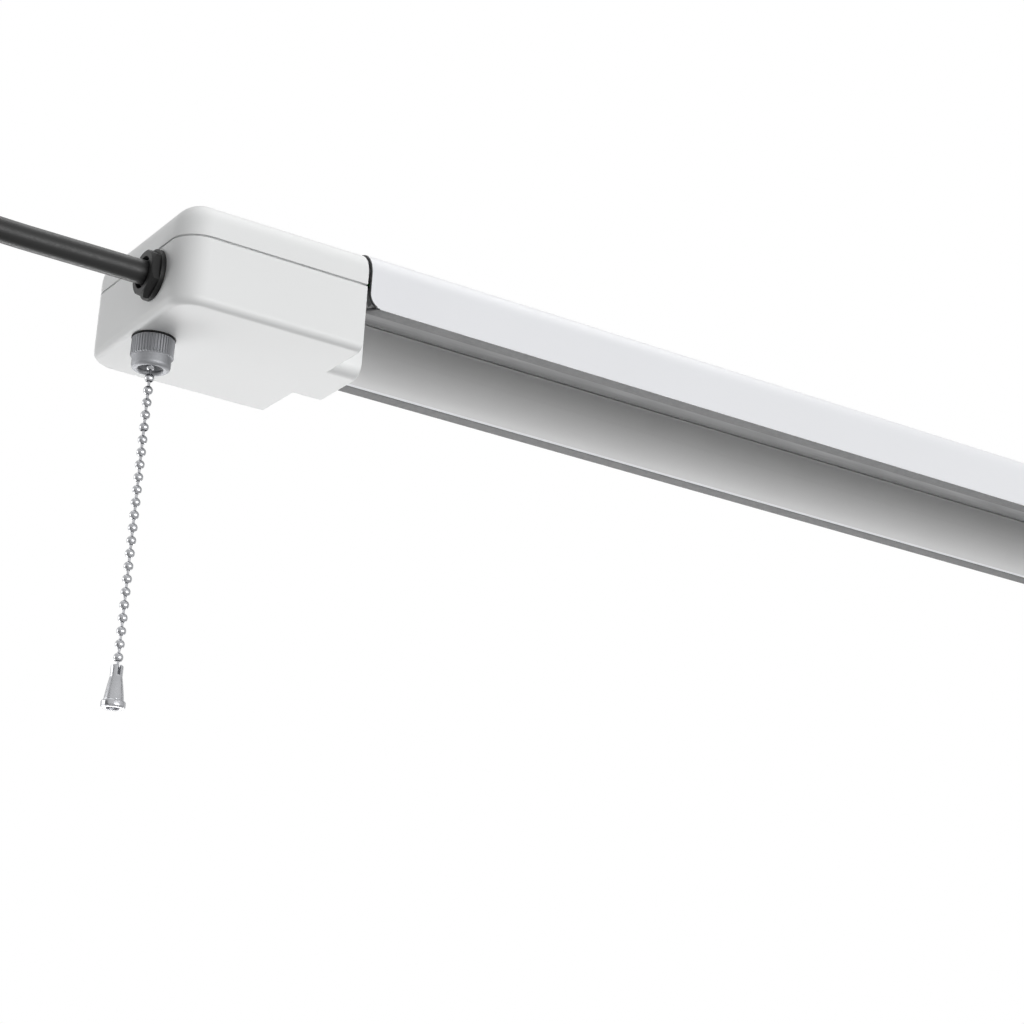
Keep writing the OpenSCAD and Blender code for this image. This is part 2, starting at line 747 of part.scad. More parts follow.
module drum_pin() {
    color(zinc) at_switch_end() translate([drum_x, 0, drum_z]) rotate([90, 0, 0])
        cylinder(d = drum_pin_d, h = case_w, center = true, $fn = round_fn);
}

module contact_drum() {
    color([0.75, 0.7, 0.6]) at_switch_end() translate([drum_x, 0, drum_z]) rotate([90, 0, 0]) difference() {
        union() {
            cylinder(r = drum_r - ratchet_depth, h = drum_w, center = true, $fn = round_fn);
            linear_extrude(height = drum_w / 2) polygon([for (k = [0 : 2 * ratchet_teeth - 1])
                (drum_r - (k % 2) * ratchet_depth) * [cos(180 * k / ratchet_teeth), sin(180 * k / ratchet_teeth)]]);
        }
        cylinder(d = drum_pin_d + 2 * pin_fit, h = 2 * drum_w, center = true, $fn = round_fn);
    }
}

module pull_slider() {
    bead_up = slider_bead_z - slider_z;
    color([0.85, 0.85, 0.8]) at_switch_end() translate([switch_x, 0, slider_z]) difference() {
        translate([-slider_l / 2 + slider_shift, -case_w / 2 + case_wall + seat, 0])
            cube([slider_l, case_w - 2 * case_wall - 2 * seat, slider_h]);
        translate([0, 0, bead_up]) cylinder(r = bead_r + fit, h = slider_h, $fn = round_fn);
        translate([0, 0, bead_up]) sphere(r = bead_r + fit, $fn = round_fn);
        translate([0, 0, -cut]) cylinder(d = link_hole_d, h = slider_h, $fn = round_fn);
    }
}
slider_shift = 0.6;

module slider_spring() {
    path = [for (a = [0 : 30 : 360 * spring_turns])
        [switch_x + spring_mid_r * cos(a), spring_mid_r * sin(a), spring_z + spring_wire_d / 2 + fit
            + a / (360 * spring_turns) * (slider_z - spring_z - spring_wire_d - 2 * fit)]];
    color(zinc) at_switch_end() tube(path, spring_wire_d, 6, [0, 0, 1]);
}

// Pull chain: hollow beads, and links whose heads sit inside them
module bead(upper_hole_d, lower_hole_d) {
    difference() {
        sphere(r = bead_r, $fn = round_fn);
        sphere(r = bead_r - bead_wall, $fn = round_fn);
        cylinder(d1 = 0, d2 = upper_hole_d, h = bead_r, $fn = round_fn);
        translate([0, 0, -bead_r])
            cylinder(d1 = lower_hole_d, d2 = link_d + 2 * fit, h = bead_r, $fn = round_fn);
    }
}

// The link below bead k
module link(k) {
    top = bead_at(k) - link_set;
    bottom = bead_at(k + 1) + link_set;
    translate([0, 0, bottom]) cylinder(d = link_d, h = top - bottom, $fn = round_fn);
    for (z = [bottom, top - link_head_t]) translate([0, 0, z])
        cylinder(d = link_head_d, h = link_head_t, $fn = round_fn);
}

module at_chain() {
    at_switch_end() translate([switch_x, 0, 0]) children();
}

module beads(first, last) {
    for (k = [first : last]) translate([0, 0, bead_at(k)])
        bead(k > -inner_beads ? link_hole_d : slice, k < last ? link_hole_d : swing_hole_d);
}

module chain_top() {
    color(nickel) at_chain() {
        beads(-inner_beads, 0);
        for (k = [-inner_beads : -1]) link(k);
    }
}

module chain_upper() {
    color(nickel) at_chain() {
        beads(1, upper_beads);
        for (k = [0 : upper_beads - 1]) link(k);
    }
}

module chain_lower() {
    color(nickel) at_chain() {
        beads(upper_beads + 1, bead_count - 1);
        for (k = [upper_beads : bead_count - 2]) link(k);
    }
}

// Bell: a slotted ferrule that holds the last link, a flared skirt and a rolled rim
module chain_bell() {
    skirt_z = bell_rim_h;
    top = bell_z - bell_h;
    color(nickel) at_chain() {
        translate([0, 0, top]) difference() {
            union() {
                translate([0, 0, skirt_z]) cylinder(d1 = bell_skirt_d, d2 = bell_top_d,
                    h = bell_h - skirt_z - ferrule_h, $fn = round_fn);
                translate([0, 0, bell_h - ferrule_h]) cylinder(d = bell_top_d, h = ferrule_h, $fn = round_fn);
                rotate_extrude($fn = round_fn) {
                    square([bell_rim_d / 2 - rim_round, bell_rim_h]);
                    for (z = [rim_round, bell_rim_h - rim_round])
                        translate([bell_rim_d / 2 - rim_round, z]) circle(r = rim_round, $fn = round_fn);
                    translate([0, rim_round]) square([bell_rim_d / 2, bell_rim_h - 2 * rim_round]);
                }
            }
            translate([0, 0, -cut]) cylinder(d = bell_recess_d, h = bell_recess_h + cut, $fn = round_fn);
            translate([0, 0, bell_h - ferrule_h]) cylinder(d = link_head_d, h = ferrule_h + cut, $fn = round_fn);
            translate([0, 0, bell_h - slot_h / 2 + cut / 2])
                cube([slot_w, 2 * bell_top_d, slot_h + cut], center = true);
        }
        bell_link();
    }
}
ferrule_h = 4;
rim_round = 0.8;
bell_recess_d = 4.6;
bell_recess_h = 1;
slot_w = 1;
slot_h = 3.4;

// The last link, whose lower end is gripped in the ferrule
module bell_link() {
    top = bead_at(bead_count - 1) - link_set;
    bottom = bell_z - ferrule_h - slice;
    translate([0, 0, bottom]) cylinder(d = link_d, h = top - bottom, $fn = round_fn);
    translate([0, 0, top - link_head_t]) cylinder(d = link_head_d, h = link_head_t, $fn = round_fn);
}

// Gland
module at_gland() {
    at_switch_end() translate([0, gland_ax_y, gland_ax_z]) rotate([0, 90, 0]) children();
}

module gland_body() {
    color(black_plastic) at_gland() difference() {
        union() {
            translate([0, 0, -gland_flange_t]) cylinder(d = gland_flange_d, h = gland_flange_t, $fn = round_fn);
            cylinder(d = gland_thread_d, h = cap_wall + locknut_t + cut, $fn = round_fn);
        }
        translate([0, 0, -gland_h]) cylinder(d = cord_d + 2 * fit, h = 2 * gland_h + locknut_t + cap_wall + cut,
            $fn = round_fn);
        translate([0, 0, -gland_flange_t - cut])
            cylinder(d = gland_recess_d, h = seal_l - gland_h + gland_flange_t + cut + seal_l, $fn = round_fn);
    }
}

module gland_nut() {
    h = gland_h - gland_flange_t;
    color(black_plastic) at_gland() translate([0, 0, -gland_h]) difference() {
        intersection() {
            cylinder(d = gland_nut_d, h = h, $fn = 6);
            union() {
                cylinder(d1 = gland_nut_d - 2 * gland_chamfer, d2 = gland_nut_d, h = gland_chamfer, $fn = round_fn);
                translate([0, 0, gland_chamfer]) cylinder(d = gland_nut_d, h = h - gland_chamfer, $fn = round_fn);
            }
        }
        translate([0, 0, -cut]) cylinder(d = gland_recess_d, h = h + 2 * cut, $fn = round_fn);
    }
}

module gland_seal() {
    color([0.05, 0.05, 0.05]) at_gland() translate([0, 0, -seal_l]) difference() {
        cylinder(d = gland_recess_d - 2 * fit, h = seal_l, $fn = round_fn);
        translate([0, 0, -cut]) cylinder(d = cord_d + 2 * fit, h = seal_l + 2 * cut, $fn = round_fn);
    }
}

module gland_locknut() {
    color(black_plastic) at_gland() translate([0, 0, cap_wall]) difference() {
        cylinder(d = locknut_d, h = locknut_t, $fn = 6);
        translate([0, 0, -cut]) cylinder(d = gland_thread_d + 2 * fit, h = locknut_t + 2 * cut, $fn = round_fn);
    }
}

// The jacket's inner end, from the gland's front to the stripped leads
module cord_entry() {
    color([0.12, 0.12, 0.12]) at_gland() translate([0, 0, -gland_h])
        cylinder(d = cord_d, h = gland_h + cord_stub, $fn = round_fn);
}

// Free cord
module power_cord() {
    color([0.12, 0.12, 0.12]) tube(cord_path, cord_d, cord_sides, [0, 1, 0]);
}

module cord_coil() {
    color([0.12, 0.12, 0.12]) tube(coil_path, cord_d, 6, [0, 1, 0]);
}

module cord_tail() {
    color([0.12, 0.12, 0.12]) tube(tail_path, cord_d, cord_sides, [0, 1, 0]);
}

// Tie round the turns, at the top of the coil
module cord_tie() {
    low = coil_in_r - cord_d / 2 - tie_gap;
    high = coil_out_r + cord_d / 2 + tie_gap;
    deep = cord_d + coil_pitch + 2 * tie_gap;
    color(black_plastic) translate(cord_exit + [coil_c[0] - tie_w / 2, 0, coil_c[1]]) difference() {
        translate([0, -deep / 2 + coil_pitch / 2 - tie_t, low - tie_t])
            cube([tie_w, deep + 2 * tie_t, high - low + 2 * tie_t]);
        translate([-cut, -deep / 2 + coil_pitch / 2, low]) cube([tie_w + 2 * cut, deep, high - low]);
    }
}

// Plug
module at_plug() {
    translate([plug_x, plug_y, plug_top_z]) children();
}

module plug_body() {
    face_z = -plug_relief_l - plug_l;
    color([0.1, 0.1, 0.1]) at_plug() difference() {
        union() {
            intersection() {
                translate([0, 0, face_z]) rotate_extrude($fn = round_fn) polygon([[0, 0], [plug_d / 2 - plug_bevel, 0],
                    [plug_d / 2, plug_bevel], [plug_d / 2, plug_l * plug_full_share],
                    [plug_d / 2 * plug_neck_share, plug_l], [0, plug_l]]);
                translate([-plug_flat / 2, -plug_d, face_z - cut]) cube([plug_flat, 2 * plug_d, plug_l + 2 * cut]);
            }
            translate([0, 0, -plug_relief_l - slice])
                cylinder(d1 = plug_d * relief_wide_share, d2 = cord_d + relief_wall, h = plug_relief_l + slice,
                    $fn = round_fn);
        }
        for (s = [-1, 1]) translate([-blade_w / 2, s * blade_gap / 2 - blade_t / 2 + blade_shift, face_z - cut])
            cube([blade_w, blade_t, blade_root + cut]);
        translate([0, -pin_off + blade_shift, face_z - cut])
            cylinder(d = pin_d + 2 * fit, h = blade_root + cut, $fn = round_fn);
    }
}
plug_bevel = 1.5;
plug_full_share = 0.6;
plug_neck_share = 0.62;
relief_wide_share = 0.55;
relief_wall = 2.4;
blade_shift = 3.4;
blade_root = 8;

module plug_blades() {
    color(copper_brass) at_plug() for (s = [-1, 1])
        translate([-blade_w / 2, s * blade_gap / 2 - blade_t / 2 + blade_shift,
            -plug_relief_l - plug_l - blade_l]) cube([blade_w, blade_t, blade_l + blade_root - seat]);
}

module plug_ground_pin() {
    color(copper_brass) at_plug() translate([0, -pin_off + blade_shift, -plug_relief_l - plug_l - pin_l])
        cylinder(d = pin_d, h = pin_l + blade_root - seat, $fn = round_fn);
}

// LED driver
module driver_board() {
    color([0.25, 0.45, 0.3]) at_switch_end()
        translate([driver_x, -driver_w / 2, driver_z]) cube([driver_l, driver_w, driver_t]);
}

module on_driver(x, y) {
    at_switch_end() translate([driver_x + x, y, driver_z + driver_t]) children();
}

module driver_transformer() {
    color([0.8, 0.75, 0.3]) on_driver(transformer_x, 0) {
        translate([0, -transformer_w / 2, 0]) cube([transformer_l, transformer_w, transformer_h]);
        translate([-bobbin_over, -bobbin_w / 2, bobbin_up]) cube([transformer_l + 2 * bobbin_over, bobbin_w, bobbin_h]);
    }
}
transformer_x = 9;
transformer_l = 12;
transformer_w = 14;
transformer_h = 13;
bobbin_over = 1.5;
bobbin_w = 9;
bobbin_up = 2;
bobbin_h = 9;

module driver_capacitors() {
    color([0.15, 0.2, 0.35]) {
        on_driver(cap_can_x, -cap_can_y) cylinder(d = cap_can_d, h = cap_can_h, $fn = round_fn);
        on_driver(cap_can_x + cap_can_d + 2 * seat, -cap_can_y) cylinder(d = cap_can_d, h = cap_can_h, $fn = round_fn);
        on_driver(cap_can_x - cap_can_d / 2, cap_can_y - film_w / 2) cube([film_l, film_w, film_h]);
    }
}
cap_can_x = 6;
cap_can_y = 13;
cap_can_d = 8;
cap_can_h = 12;
film_l = 13;
film_w = 6;
film_h = 10;

module driver_connectors() {
    color([0.92, 0.92, 0.9]) {
        on_driver(0, -connector_w / 2) cube([connector_l, connector_w, connector_h]);
        on_driver(driver_l - connector_l, -connector_w / 2) cube([connector_l, connector_w, connector_h]);
    }
}
connector_l = 5;
connector_w = 10;
connector_h = 7;

// Leads, each along a short route inside the cap, written in the switch end's own frame
module lead(points, ref, shade) {
    color(shade) at_switch_end() tube(points, lead_d, 6, ref);
}

stub_x = cord_stub + seat;
stub_r = cord_d / 4;
box_z = driver_z + driver_t + connector_h / 2;
case_end = case_x + case_l;
lead_r = lead_d / 2;

// From the cord to the switch's far end
module line_lead() {
    y = -case_w / 2 - lead_d;
    lead([[stub_x, gland_ax_y + stub_r, gland_ax_z + stub_r],
        [stub_x + lead_d, gland_ax_y + stub_r, gland_ax_z + stub_r], [stub_x + case_l / 3, y - lead_r, drum_z + lead_d],
        [case_end - lead_d, y, drum_z + 2 * lead_d], [case_end + lead_d, y + lead_d, drum_z + 2 * lead_d],
        [case_end + 1.5 * lead_d, y + 2.5 * lead_d, drum_z + 2 * lead_d],
        [case_end + lead_d, -lead_d, drum_z + 2 * lead_d], [case_end + seat, -lead_d, drum_z + 2 * lead_d]],
        [0, 0, 1], [0.1, 0.1, 0.1]);
}

// From the switch to the driver
module switched_lead() {
    lead([[case_end + seat, lead_d, drum_z - lead_d], [case_end + lead_d, lead_d, drum_z - lead_d],
        [driver_x - lead_d, 2 * lead_d, box_z], [driver_x - seat, 2 * lead_d, box_z]], [0, 0, 1], [0.1, 0.1, 0.1]);
}

module neutral_lead() {
    y = -case_w / 2 - lead_d;
    lead([[stub_x, gland_ax_y - stub_r, gland_ax_z + stub_r],
        [stub_x + lead_d, gland_ax_y - stub_r, gland_ax_z + stub_r],
        [stub_x + case_l / 3, y - 2 * lead_d, gland_ax_z],
        [case_end - 2 * lead_d, y - lead_d, box_z - lead_d], [case_end + lead_r, y + lead_r, box_z - lead_d],
        [driver_x - lead_d, -1.5 * lead_d, box_z], [driver_x - seat, -1.5 * lead_d, box_z]],
        [0, 0, 1], [0.9, 0.9, 0.9]);
}

// From the cord, over the driver and along the cover's tongue to the channel
module ground_lead() {
    z = tongue_z - lead_d / 2 - 2 * seat;
    screw_x = cap_l + joint_gap + ground_in;
    lead([[stub_x, gland_ax_y, gland_ax_z - stub_r], [stub_x + lead_d, gland_ax_y, gland_ax_z - stub_r],
        [driver_x - 2 * lead_d, -driver_w / 2 - lead_d, gland_ax_z],
        [cap_l - driver_l / 2, -channel_screw_y - lead_d, z - 4 * lead_d],
        [cap_l - 2 * cap_wall, -channel_screw_y, z], [cap_l + joint_gap + tongue_l, -channel_screw_y, z],
        [screw_x - 4 * lead_d, -channel_screw_y, z + lead_r], [screw_x - 2 * lead_d, -channel_screw_y, z + lead_d],
        [screw_x - channel_screw_d / 2 - seat, -channel_screw_y, z + lead_d]], [0, 0, 1], [0.2, 0.5, 0.2]);
}

// From the driver, up through the nose to the LED boards
module led_leads() {
    slot_x = cap_l + joint_gap + seat + lead_slot_l / 2;
    board_x = cap_l + joint_gap + channel_l / 2 - board_l - board_gap / 2;
    for (s = [-1, 1]) lead([[driver_x + driver_l + seat, s * lead_d, box_z],
        [cap_l - lead_r, s * lead_d, box_z + lead_r], [slot_x, s * lead_d, split_z],
        [slot_x, s * lead_d, nose_top_z], [slot_x + lead_r, s * lead_d, board_z - lead_r],
        [board_x - lead_r, s * lead_d, board_z], [board_x - seat, s * lead_d, board_z]], [0, 1, 0], [0.8, 0.2, 0.15]);
}

module ground_screw() {
    color(copper_brass) translate([ground_x, -channel_screw_y, 0])
        screw(channel_screw_d, channel_screw_head_d, channel_screw_head_h, ground_screw_l);
}
ground_screw_l = 5;

channel();
reflector();
lens();
led_boards();
led_chips();
board_screws();
switch_housing();
switch_cover();
far_housing();
far_cover();
cover_screws();
channel_screws();
knurled_nut();
switch_bushing();
switch_case();
switch_lid();
switch_contacts();
drum_pin();
contact_drum();
pull_slider();
slider_spring();
chain_top();
chain_upper();
chain_lower();
chain_bell();
gland_body();
gland_nut();
gland_locknut();
gland_seal();
cord_entry();
power_cord();
cord_coil();
cord_tail();
cord_tie();
plug_body();
plug_blades();
plug_ground_pin();
driver_board();
driver_transformer();
driver_capacitors();
driver_connectors();
line_lead();
switched_lead();
neutral_lead();
ground_lead();
led_leads();
ground_screw();
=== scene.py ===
import json
import math

import bmesh
import bpy
from mathutils import Matrix, Vector


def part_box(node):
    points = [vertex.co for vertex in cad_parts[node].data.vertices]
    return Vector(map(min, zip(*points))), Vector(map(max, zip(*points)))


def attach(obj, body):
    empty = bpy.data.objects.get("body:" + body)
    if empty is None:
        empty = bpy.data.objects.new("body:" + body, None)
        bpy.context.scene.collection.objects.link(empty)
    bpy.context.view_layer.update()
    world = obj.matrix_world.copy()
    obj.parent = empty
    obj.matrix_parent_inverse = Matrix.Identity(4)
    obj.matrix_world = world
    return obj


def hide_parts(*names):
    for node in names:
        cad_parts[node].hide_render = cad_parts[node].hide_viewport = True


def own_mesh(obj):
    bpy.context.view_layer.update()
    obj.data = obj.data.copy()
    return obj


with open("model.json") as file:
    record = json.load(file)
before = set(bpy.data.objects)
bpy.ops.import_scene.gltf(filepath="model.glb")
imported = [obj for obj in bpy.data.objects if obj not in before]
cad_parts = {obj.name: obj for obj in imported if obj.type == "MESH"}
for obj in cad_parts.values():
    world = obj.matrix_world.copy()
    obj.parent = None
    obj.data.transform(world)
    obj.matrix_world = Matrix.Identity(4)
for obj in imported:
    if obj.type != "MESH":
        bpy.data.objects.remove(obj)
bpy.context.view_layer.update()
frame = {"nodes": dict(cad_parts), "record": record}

# Hanging shop light: a white channel with a strip lens in a curved trough, moulded end caps, a pull switch
# with its bead chain, and a black cord in a gland. Sizes are in millimetres, as in the part's source.
MM = 0.001
X, Y, Z = 0, 1, 2
UP = Vector((0, 0, 1))

# How near a place, in millimetres, or a direction has to be for a corner, an edge or a face to be picked
NEAR = 0.1
ALONG = 0.99
FACING = 0.9
# Corners that are closer than this are merged, and a profile's pole is a ring so small that it merges
MERGE = 0.004
POLE = 0.001
# How far a cutting tool reaches past what it cuts
PAST = 5
# The four quarters of the plan, as signs of x and y
QUARTERS = [(sx, sy) for sx in (-1, 1) for sy in (-1, 1)]

# Camera: a long lens, below the light and at its near left
CAMERA_PLACE = Vector((-912.48, -699.73, -349.4)) * MM
CAMERA_RIGHT = Vector((0.83654, -0.54516, 0.05473))
CAMERA_BACK = Vector((-0.50129, -0.80186, -0.32516))
FOCAL_PX = 2437.3
FRAME_PX = 1024
SENSOR_MM = 36
CLIP_M = (0.05, 50)


def add_camera():
    data = bpy.data.cameras.new("photo_camera")
    data.sensor_width = SENSOR_MM
    data.lens = FOCAL_PX / FRAME_PX * SENSOR_MM
    data.clip_start, data.clip_end = CLIP_M
    camera = bpy.data.objects.new("photo_camera", data)
    bpy.context.scene.collection.objects.link(camera)
    back = CAMERA_BACK.normalized()
    right = (CAMERA_RIGHT - back * CAMERA_RIGHT.dot(back)).normalized()
    turn = Matrix((right, back.cross(right), back)).transposed().to_4x4()
    camera.matrix_world = Matrix.Translation(CAMERA_PLACE) @ turn
    bpy.context.scene.camera = camera


add_camera()
bpy.context.scene.view_settings.view_transform = "Standard"

# The switch end's face, and the gland in it that the cord leaves
SWITCH_END_X = -628
GLAND_Y = -16.6
GLAND_Z = -24.1
GLAND_H = 4.5

# Free cord: straight out of the gland, down in a loose bend, into a coil that hangs in its tie, and the tail
CORD_D = 8.2
CORD_EXIT = Vector((SWITCH_END_X - GLAND_H, GLAND_Y, GLAND_Z))
CORD_ROUTE = [(0, 0), (-20, 0), (-40, 0), (-60, 0), (-71, -1.4), (-81, -5.6), (-89.7, -12.3), (-96.4, -21),
              (-100.6, -31), (-102, -42), (-102, -54), (-100.3, -66.9), (-95.3, -79), (-87.4, -89.4),
              (-78, -98.8), (-70, -106.8), (-61.6, -115.2)]
COIL_TURNS = 4
COIL_START = 45
COIL_END = 90 + 360 * COIL_TURNS
COIL_STEP = 15
COIL_MID = (COIL_START + COIL_END) / 2
COIL_PITCH = 8.9
COIL_MID_R = 48
# The turns spiral in to the coil's middle and out again, and step over in the half turn there
COIL_GROWTH = COIL_PITCH * (COIL_END - COIL_MID) / 360
COIL_IN_R = COIL_MID_R - COIL_GROWTH / 2
COIL_OUT_R = COIL_IN_R + COIL_GROWTH
TAIL_L = 44


def coil_centre():
    start = math.radians(COIL_START)
    last = Vector((CORD_ROUTE[-1][0], 0, CORD_ROUTE[-1][1]))
    return (last + CORD_D * Vector((math.cos(start), 0, -math.sin(start)))
            - COIL_OUT_R * Vector((math.sin(start), 0, math.cos(start))))


def cord_points():
    """The cord's centre line in metres: the route, the coil and the tail."""
    points = [Vector((x, 0, z)) for x, z in CORD_ROUTE]
    centre = coil_centre()
    for degrees in range(COIL_START, COIL_END + 1, COIL_STEP):
        a = math.radians(degrees)
        r = COIL_IN_R + COIL_PITCH * abs(degrees - COIL_MID) / 360
        y = COIL_PITCH * min(1, max(0, (degrees - COIL_MID + 90) / 180))
        points.append(centre + Vector((r * math.sin(a), y, r * math.cos(a))))
    for step in (CORD_D, CORD_D + TAIL_L / 2, CORD_D + TAIL_L):
        points.append(centre + Vector((COIL_OUT_R, COIL_PITCH, -step)))
    return [(CORD_EXIT + point) * MM for point in points]


def make_cord():
    points = cord_points()
    data = bpy.data.curves.new("mains_cord", "CURVE")
    data.dimensions = "3D"
    data.bevel_depth = CORD_D / 2 * MM
    data.bevel_resolution = 6
    data.resolution_u = 4
    data.use_fill_caps = True
    spline = data.splines.new("BEZIER")
    spline.bezier_points.add(len(points) - 1)
    for knot, place in zip(spline.bezier_points, points):
        knot.co = place
        knot.handle_left_type = "AUTO"
        knot.handle_right_type = "AUTO"
    cord = bpy.data.objects.new("mains_cord", data)
    bpy.context.scene.collection.objects.link(cord)
    return cord


# Modelling by hand: primitives, edit-mode operators and modifiers

def only(piece):
    """Makes a piece the only one that is selected."""
    bpy.ops.object.select_all(action="DESELECT")
    piece.select_set(True)
    bpy.context.view_layer.objects.active = piece


def settle(name):
    """Names the new primitive, and moves its place, turn and size into its mesh."""
    piece = bpy.context.object
    piece.name = name
    piece.data.name = name
    only(piece)
    bpy.ops.object.transform_apply(location=True, rotation=True, scale=True)
    return piece


def block(name, low, high):
    """A block between two corners."""
    low, high = Vector(low) * MM, Vector(high) * MM
    bpy.ops.object.select_all(action="DESELECT")
    bpy.ops.mesh.primitive_cube_add(size=1, location=(low + high) / 2, scale=high - low)
    return settle(name)


def rod(name, start, end, diameter, sides=48):
    """A round or many-sided rod from one point to another."""
    start, end = Vector(start) * MM, Vector(end) * MM
    turn = UP.rotation_difference(end - start).to_euler()
    bpy.ops.object.select_all(action="DESELECT")
    bpy.ops.mesh.primitive_cylinder_add(vertices=sides, radius=diameter / 2 * MM, depth=(end - start).length,
                                        location=(start + end) / 2, rotation=turn)
    return settle(name)


def spanned(name, x, y, z):
    """A block over three spans, each given from either end."""
    return block(name, *zip(sorted(x), sorted(y), sorted(z)))


def drill(x, y, low, high, diameter, sides=48):
    """An upright rod for a hole between two heights, longer than the hole at both ends."""
    return rod("hole", (x, y, low - PAST), (x, y, high + PAST), diameter, sides)


def edit(piece):
    only(piece)
    bpy.ops.object.mode_set(mode="EDIT")


def finish_edit():
    bpy.ops.object.mode_set(mode="OBJECT")


def pick(kind, test):
    """Selects what passes a test on it and on its corners' places in millimetres."""
    bpy.ops.mesh.select_mode(type=kind)
    bpy.ops.mesh.select_all(action="DESELECT")
    mesh = bmesh.from_edit_mesh(bpy.context.object.data)
    for item in {"VERT": mesh.verts, "EDGE": mesh.edges, "FACE": mesh.faces}[kind]:
        corners = [item] if kind == "VERT" else item.verts
        if test(item, [corner.co / MM for corner in corners]):
            item.select_set(True)
    mesh.select_flush_mode()
    bmesh.update_edit_mesh(bpy.context.object.data)


def runs(places, axis):
    """Tells whether an edge runs along an axis."""
    step = places[1] - places[0]
    return abs(step[axis]) > ALONG * step.length


def lowest(places, axis):
    return min(place[axis] for place in places)


def highest(places, axis):
    return max(place[axis] for place in places)


def push(x, y, z):
    """Extrudes the selection."""
    bpy.ops.mesh.extrude_region_move(TRANSFORM_OT_translate={"value": Vector((x, y, z)) * MM})


def round_edges(radius, segments=6):
    bpy.ops.mesh.bevel(offset=radius * MM, segments=segments, affect="EDGES")


def close_up():
    """Merges the seams and turns the faces outward."""
    bpy.ops.mesh.select_all(action="SELECT")
    bpy.ops.mesh.remove_doubles(threshold=MERGE * MM)
    bpy.ops.mesh.normals_make_consistent(inside=False)


def modify(piece, kind, **settings):
    """Adds a modifier and applies it."""
    modifier = piece.modifiers.new("step", kind)
    for key, value in settings.items():
        setattr(modifier, key, value)
    only(piece)
    bpy.ops.object.modifier_apply(modifier=modifier.name)


def carve(piece, tool, operation="DIFFERENCE"):
    """Cuts a piece by a tool, or joins the two, and throws the tool away."""
    modify(piece, "BOOLEAN", operation=operation, solver="EXACT", object=tool)
    bpy.data.objects.remove(tool, do_unlink=True)


def soften(piece, width, angle=40, segments=2):
    """Breaks the sharp edges."""
    modify(piece, "BEVEL", width=width * MM, segments=segments, limit_method="ANGLE",
           angle_limit=math.radians(angle))


def smooth(piece, angle=35):
    """Smooth shading between the sharp edges, led by the large faces, so that flats look flat."""
    only(piece)
    bpy.ops.object.shade_smooth_by_angle(angle=math.radians(angle))
    modify(piece, "WEIGHTED_NORMAL", keep_sharp=True)


def turned(name, place, axis, profile, sides=48):
    """Turns a profile of radii and distances along an axis: a ring, extruded and scaled on and on.

    The profile closes on itself, or starts and ends at a pole.
    """
    place, axis = Vector(place), Vector(axis)
    radius, distance = profile[0]
    turn = UP.rotation_difference(axis).to_euler()
    bpy.ops.object.select_all(action="DESELECT")
    bpy.ops.mesh.primitive_circle_add(vertices=sides, radius=radius * MM,
                                      location=(place + axis * distance) * MM, rotation=turn)
    piece = settle(name)
    edit(piece)
    bpy.ops.mesh.select_mode(type="VERT")
    bpy.ops.mesh.select_all(action="SELECT")
    closing = [] if profile[-1][0] == POLE else [profile[0]]
    for next_radius, next_distance in [*profile[1:], *closing]:
        step = axis * (next_distance - distance)
        push(*step)
        ratio = next_radius / radius
        bpy.ops.transform.resize(value=[1 if abs(a) > 0.5 else ratio for a in axis],
                                 center_override=(place + axis * next_distance) * MM)
        radius, distance = next_radius, next_distance
    close_up()
    finish_edit()
    return piece


def arc(centre_r, centre_t, radius, start, end, steps):
    """Points of a profile on an arc, in degrees from the outward radius towards the axis's head."""
    angles = [math.radians(start + (end - start) * k / steps) for k in range(steps + 1)]
    return [(centre_r + radius * math.cos(a), centre_t + radius * math.sin(a)) for a in angles]


def copied(piece, name, x, y, z, flip=False):
    """A copy with its own mesh, moved, or mirrored in X and moved."""
    twin = piece.copy()
    twin.data = piece.data.copy()
    twin.name = name
    twin.data.name = name
    bpy.context.scene.collection.objects.link(twin)
    mirror = Matrix.Scale(-1 if flip else 1, 4, (1, 0, 0))
    twin.data.transform(Matrix.Translation(Vector((x, y, z)) * MM) @ mirror)
    if flip:
        twin.data.flip_normals()
    return twin


def joined(name, pieces):
    only(pieces[0])
    for piece in pieces:
        piece.select_set(True)
    if len(pieces) > 1:
        bpy.ops.object.join()
    pieces[0].name = name
    pieces[0].data.name = name
    return pieces[0]


# Materials

def colour(hex_code):
    """An sRGB hex colour as linear RGBA."""
    parts = [int(hex_code[i:i + 2], 16) / 255 for i in (0, 2, 4)]
    linear = [c / 12.92 if c <= 0.04045 else ((c + 0.055) / 1.055) ** 2.4 for c in parts]
    return (*linear, 1)


def new_material(name):
    material = bpy.data.materials.new(name)
    material.use_nodes = True
    return material, material.node_tree, material.node_tree.nodes["Principled BSDF"]


def add_node(tree, kind, settings=(), **links):
    """Adds a node, sets its properties, and plugs in values or other nodes' sockets by name or number."""
    node = tree.nodes.new(kind)
    for key, value in dict(settings).items():
        setattr(node, key, value)
    for key, value in links.items():
        socket = node.inputs[int(key[1:])] if key[0] == "i" and key[1:].isdigit() else node.inputs[key]
        if isinstance(value, bpy.types.NodeSocket):
            tree.links.new(value, socket)
        else:
            socket.default_value = value
    return node


# How far a surface's roughness strays either way, and the values between which most of a noise lies
GLOSS_SPREAD = 0.06
NOISE_LOW = 0.3
NOISE_HIGH = 0.7


